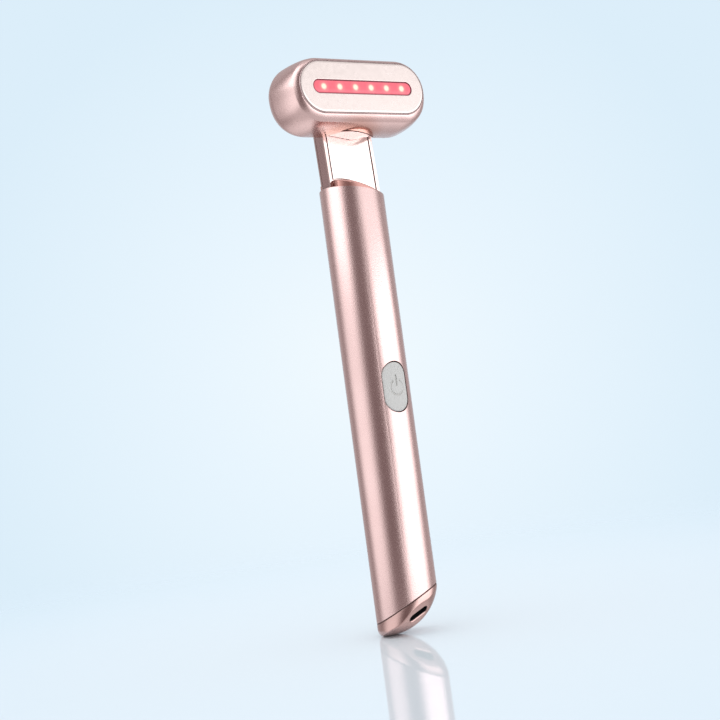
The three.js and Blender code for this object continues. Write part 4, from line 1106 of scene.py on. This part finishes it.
def make_coil():
    sizes = {"Turns": 7, "Pitch": 0.28, "Ring radius": 2.42, "Wire radius": 0.16,
             "Core radius": 2.3, "Depth": 2.16}
    tree, size = new_recipe("coil_turns", sizes)
    path = geometry_node(tree, "CurvePrimitiveCircle", Resolution=40, Radius=size["Ring radius"])
    wire = geometry_node(tree, "CurvePrimitiveCircle", Resolution=8, Radius=size["Wire radius"])
    turn = geometry_node(tree, "CurveToMesh", Curve=path.outputs[0],
                         Profile_Curve=wire.outputs[0])
    core = geometry_node(tree, "MeshCylinder", Vertices=40, Radius=size["Core radius"],
                         Depth=size["Depth"])
    turn, core = (geometry_node(tree, "Transform", Geometry=part,
                                Rotation=(0.0, math.pi / 2, 0.0)).outputs[0]
                  for part in (turn.outputs[0], core.outputs["Mesh"]))
    row = row_of(tree, turn, size["Turns"], size["Pitch"])
    low, high = (Vector(corner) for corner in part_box("boost_coil"))
    place = Matrix.Translation((low + high) / 2) @ Matrix.Rotation(math.pi / 2, 4, "Z")
    return grow("coil_windings", tree, joined(tree, row, core), sizes,
                finish["copper"], place)


finish_piece(make_light_row(), "head", "led_white",
             *(f"led_{number}" for number in range(1, 7)))
head_screw_seat = Vector((0, HEAD_SCREW_BEHIND - FACE_REACH, HEAD_Z)) * MM
head_screw_place = (HEAD_PLACE @ Matrix.Translation(head_screw_seat)
                    @ Matrix.Rotation(-math.pi / 2, 4, "X"))
head_screws = make_screws("light_board_screws", head_screw_place, pitch=39.5, shank_radius=0.5,
                          shank_length=2.25, head_radius=1.0, head_height=0.65)
finish_piece(head_screws, "head", "steel", "head_screw_left", "head_screw_right")
low, high = (Vector(corner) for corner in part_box("board_screw_lower"))
upper_low, _ = (Vector(corner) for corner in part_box("board_screw_upper"))
board_pitch = (upper_low.z - low.z) / MM
board_head = 0.675
board_screw_place = (Matrix.Translation(Vector((0, low.y + board_head * MM,
                                                (low.z + high.z) / 2 + board_pitch * MM / 2)))
                     @ Matrix.Rotation(math.pi / 2, 4, "X")
                     @ Matrix.Rotation(math.pi / 2, 4, "Z"))
board_shank = (high.y - low.y) / MM - board_head
board_screws = make_screws("main_board_screws", board_screw_place, pitch=board_pitch,
                           shank_radius=0.7, shank_length=board_shank, head_radius=1.3,
                           head_height=board_head)
finish_piece(board_screws, "handle", "steel", "board_screw_lower", "board_screw_upper")
finish_piece(make_coil(), "handle", "copper", "boost_coil")

# Finishes of the CAD nodes
for part in frame["record"]["subparts"]:
    # The port's shell takes the near-black steel with painted shade.
    look = "port_steel" if part["node"] == "usb_shell" else part["material_slot"]
    materials = nodes[part["node"]].data.materials
    materials.clear()
    materials.append(finish[look])


# Floor, backdrop and soft studio light
FOOT = Vector((TAIL_CENTRE.x, TAIL_CENTRE.y + AXIS_Y, 0)) * MM


def make_floor():
    material, tree, shader = new_material("floor_pale")
    tree.nodes.remove(shader)
    output = next(node for node in tree.nodes if node.type == "OUTPUT_MATERIAL")
    place = object_coordinates(tree)
    away = compare(tree, "DISTANCE", place, (0, 0, 0))
    # Painted light: the floor's colour is lighter towards the middle, a painted pool of light.
    pale = blend_colours(tree, away.spread(0, 1, 0.0, 0.3, soft=False), srgb(240, 249, 255),
                         srgb(230, 244, 254))
    matt = shader_node(tree, "BsdfDiffuse", pale).outputs[0]
    gloss = shader_node(tree, "BsdfGlossy", (0.95, 0.97, 1, 1), 0.05).outputs[0]
    clear = shader_node(tree, "BsdfTransparent").outputs[0]
    top = blend_shaders(tree, 0.32, matt, gloss)
    seen = blend_shaders(tree, away.spread(0, 1, 0.12, 0.42), top, clear)
    from_foot = compare(tree, "DISTANCE", place, FOOT)
    mirrored = blend_shaders(tree, from_foot.spread(0, 1, 0.006, 0.012), matt, clear)
    rays = shader_node(tree, "LightPath")
    feed(tree, output.inputs["Surface"],
         blend_shaders(tree, rays.outputs["Is Glossy Ray"], seen, mirrored))
    mesh = bpy.data.meshes.new("floor")
    edge = circle(FLOOR_R, 96)
    mesh.from_pydata([(x * MM, y * MM, -FLOOR_DROP * MM) for x, y in edge], [],
                     [tuple(range(len(edge)))])
    mesh.materials.append(material)
    link("floor", mesh)


def make_world():
    """Pale blue behind the object; soft boxes to the left and right for the metal to mirror."""
    world = bpy.data.worlds.new("studio")
    bpy.context.scene.world = world
    world.use_nodes = True
    tree = world.node_tree
    tree.nodes.clear()
    output = shader_node(tree, "OutputWorld")
    direction = shader_node(tree, "TexCoord").outputs["Generated"]
    x, y, z = axes_of(tree, direction)
    bearing = y.run("ARCTAN2", x)
    camera_side = math.degrees(math.atan2(-LOOK.y, -LOOK.x))

    def soft_box(centre, half, soft, strength=1.0):
        """A tall light; centre is its bearing from the camera's side, in degrees."""
        away = (bearing - math.radians(camera_side + centre)).run("COSINE").run("ARCCOSINE")
        return away.spread(strength, 0.0, math.radians(half - soft), math.radians(half + soft))

    def background(colour):
        return shader_node(tree, "Background", colour).outputs[0]

    left = soft_box(-68, 33, 18) * (z.spread(1.08, 0.9, 0.02, 0.14)
                                    * z.spread(1.0, 2.0, 0.26, 0.36))
    right = soft_box(67, 40, 15) * (z.spread(1.0, 1.3, 0.02, 0.15)
                                    * z.spread(1.85, 0.8, 0.225, 0.275))
    behind = soft_box(180, 60, 25, 0.3)
    below, above = z.spread(0.5, 0.0, -0.8, -0.45), z.spread(0.0, 0.3, 0.8, 1.0)
    level = (left + right) * z.spread(0.0, 1.0, -0.75, -0.35) + behind + below + above
    studio = background(blend_colours(tree, 1.0, (0.23, 0.175, 0.175, 1), level, "ADD"))

    off_axis = (compare(tree, "DOT_PRODUCT", direction, LOOK).run("ARCCOSINE")
                / math.radians(16))
    ramp = shader_node(tree, "ValToRGB", off_axis)
    ramp.color_ramp.elements[0].color = srgb(241, 250, 255)
    ramp.color_ramp.elements[1].color = srgb(220, 238, 250)
    ramp.color_ramp.elements.new(0.42).color = srgb(232, 245, 254)
    backdrop = background(ramp.outputs["Color"])
    mirrored = blend_shaders(tree, off_axis.spread(0.0, 1.0, 1.1, 1.6), backdrop, studio)
    rays = shader_node(tree, "LightPath")
    lit = blend_shaders(tree, rays.outputs["Is Glossy Ray"],
                        background((0.98, 0.99, 1.0, 1)), mirrored)
    feed(tree, output.inputs["Surface"],
         blend_shaders(tree, rays.outputs["Is Camera Ray"], lit, backdrop))


make_floor()
make_world()
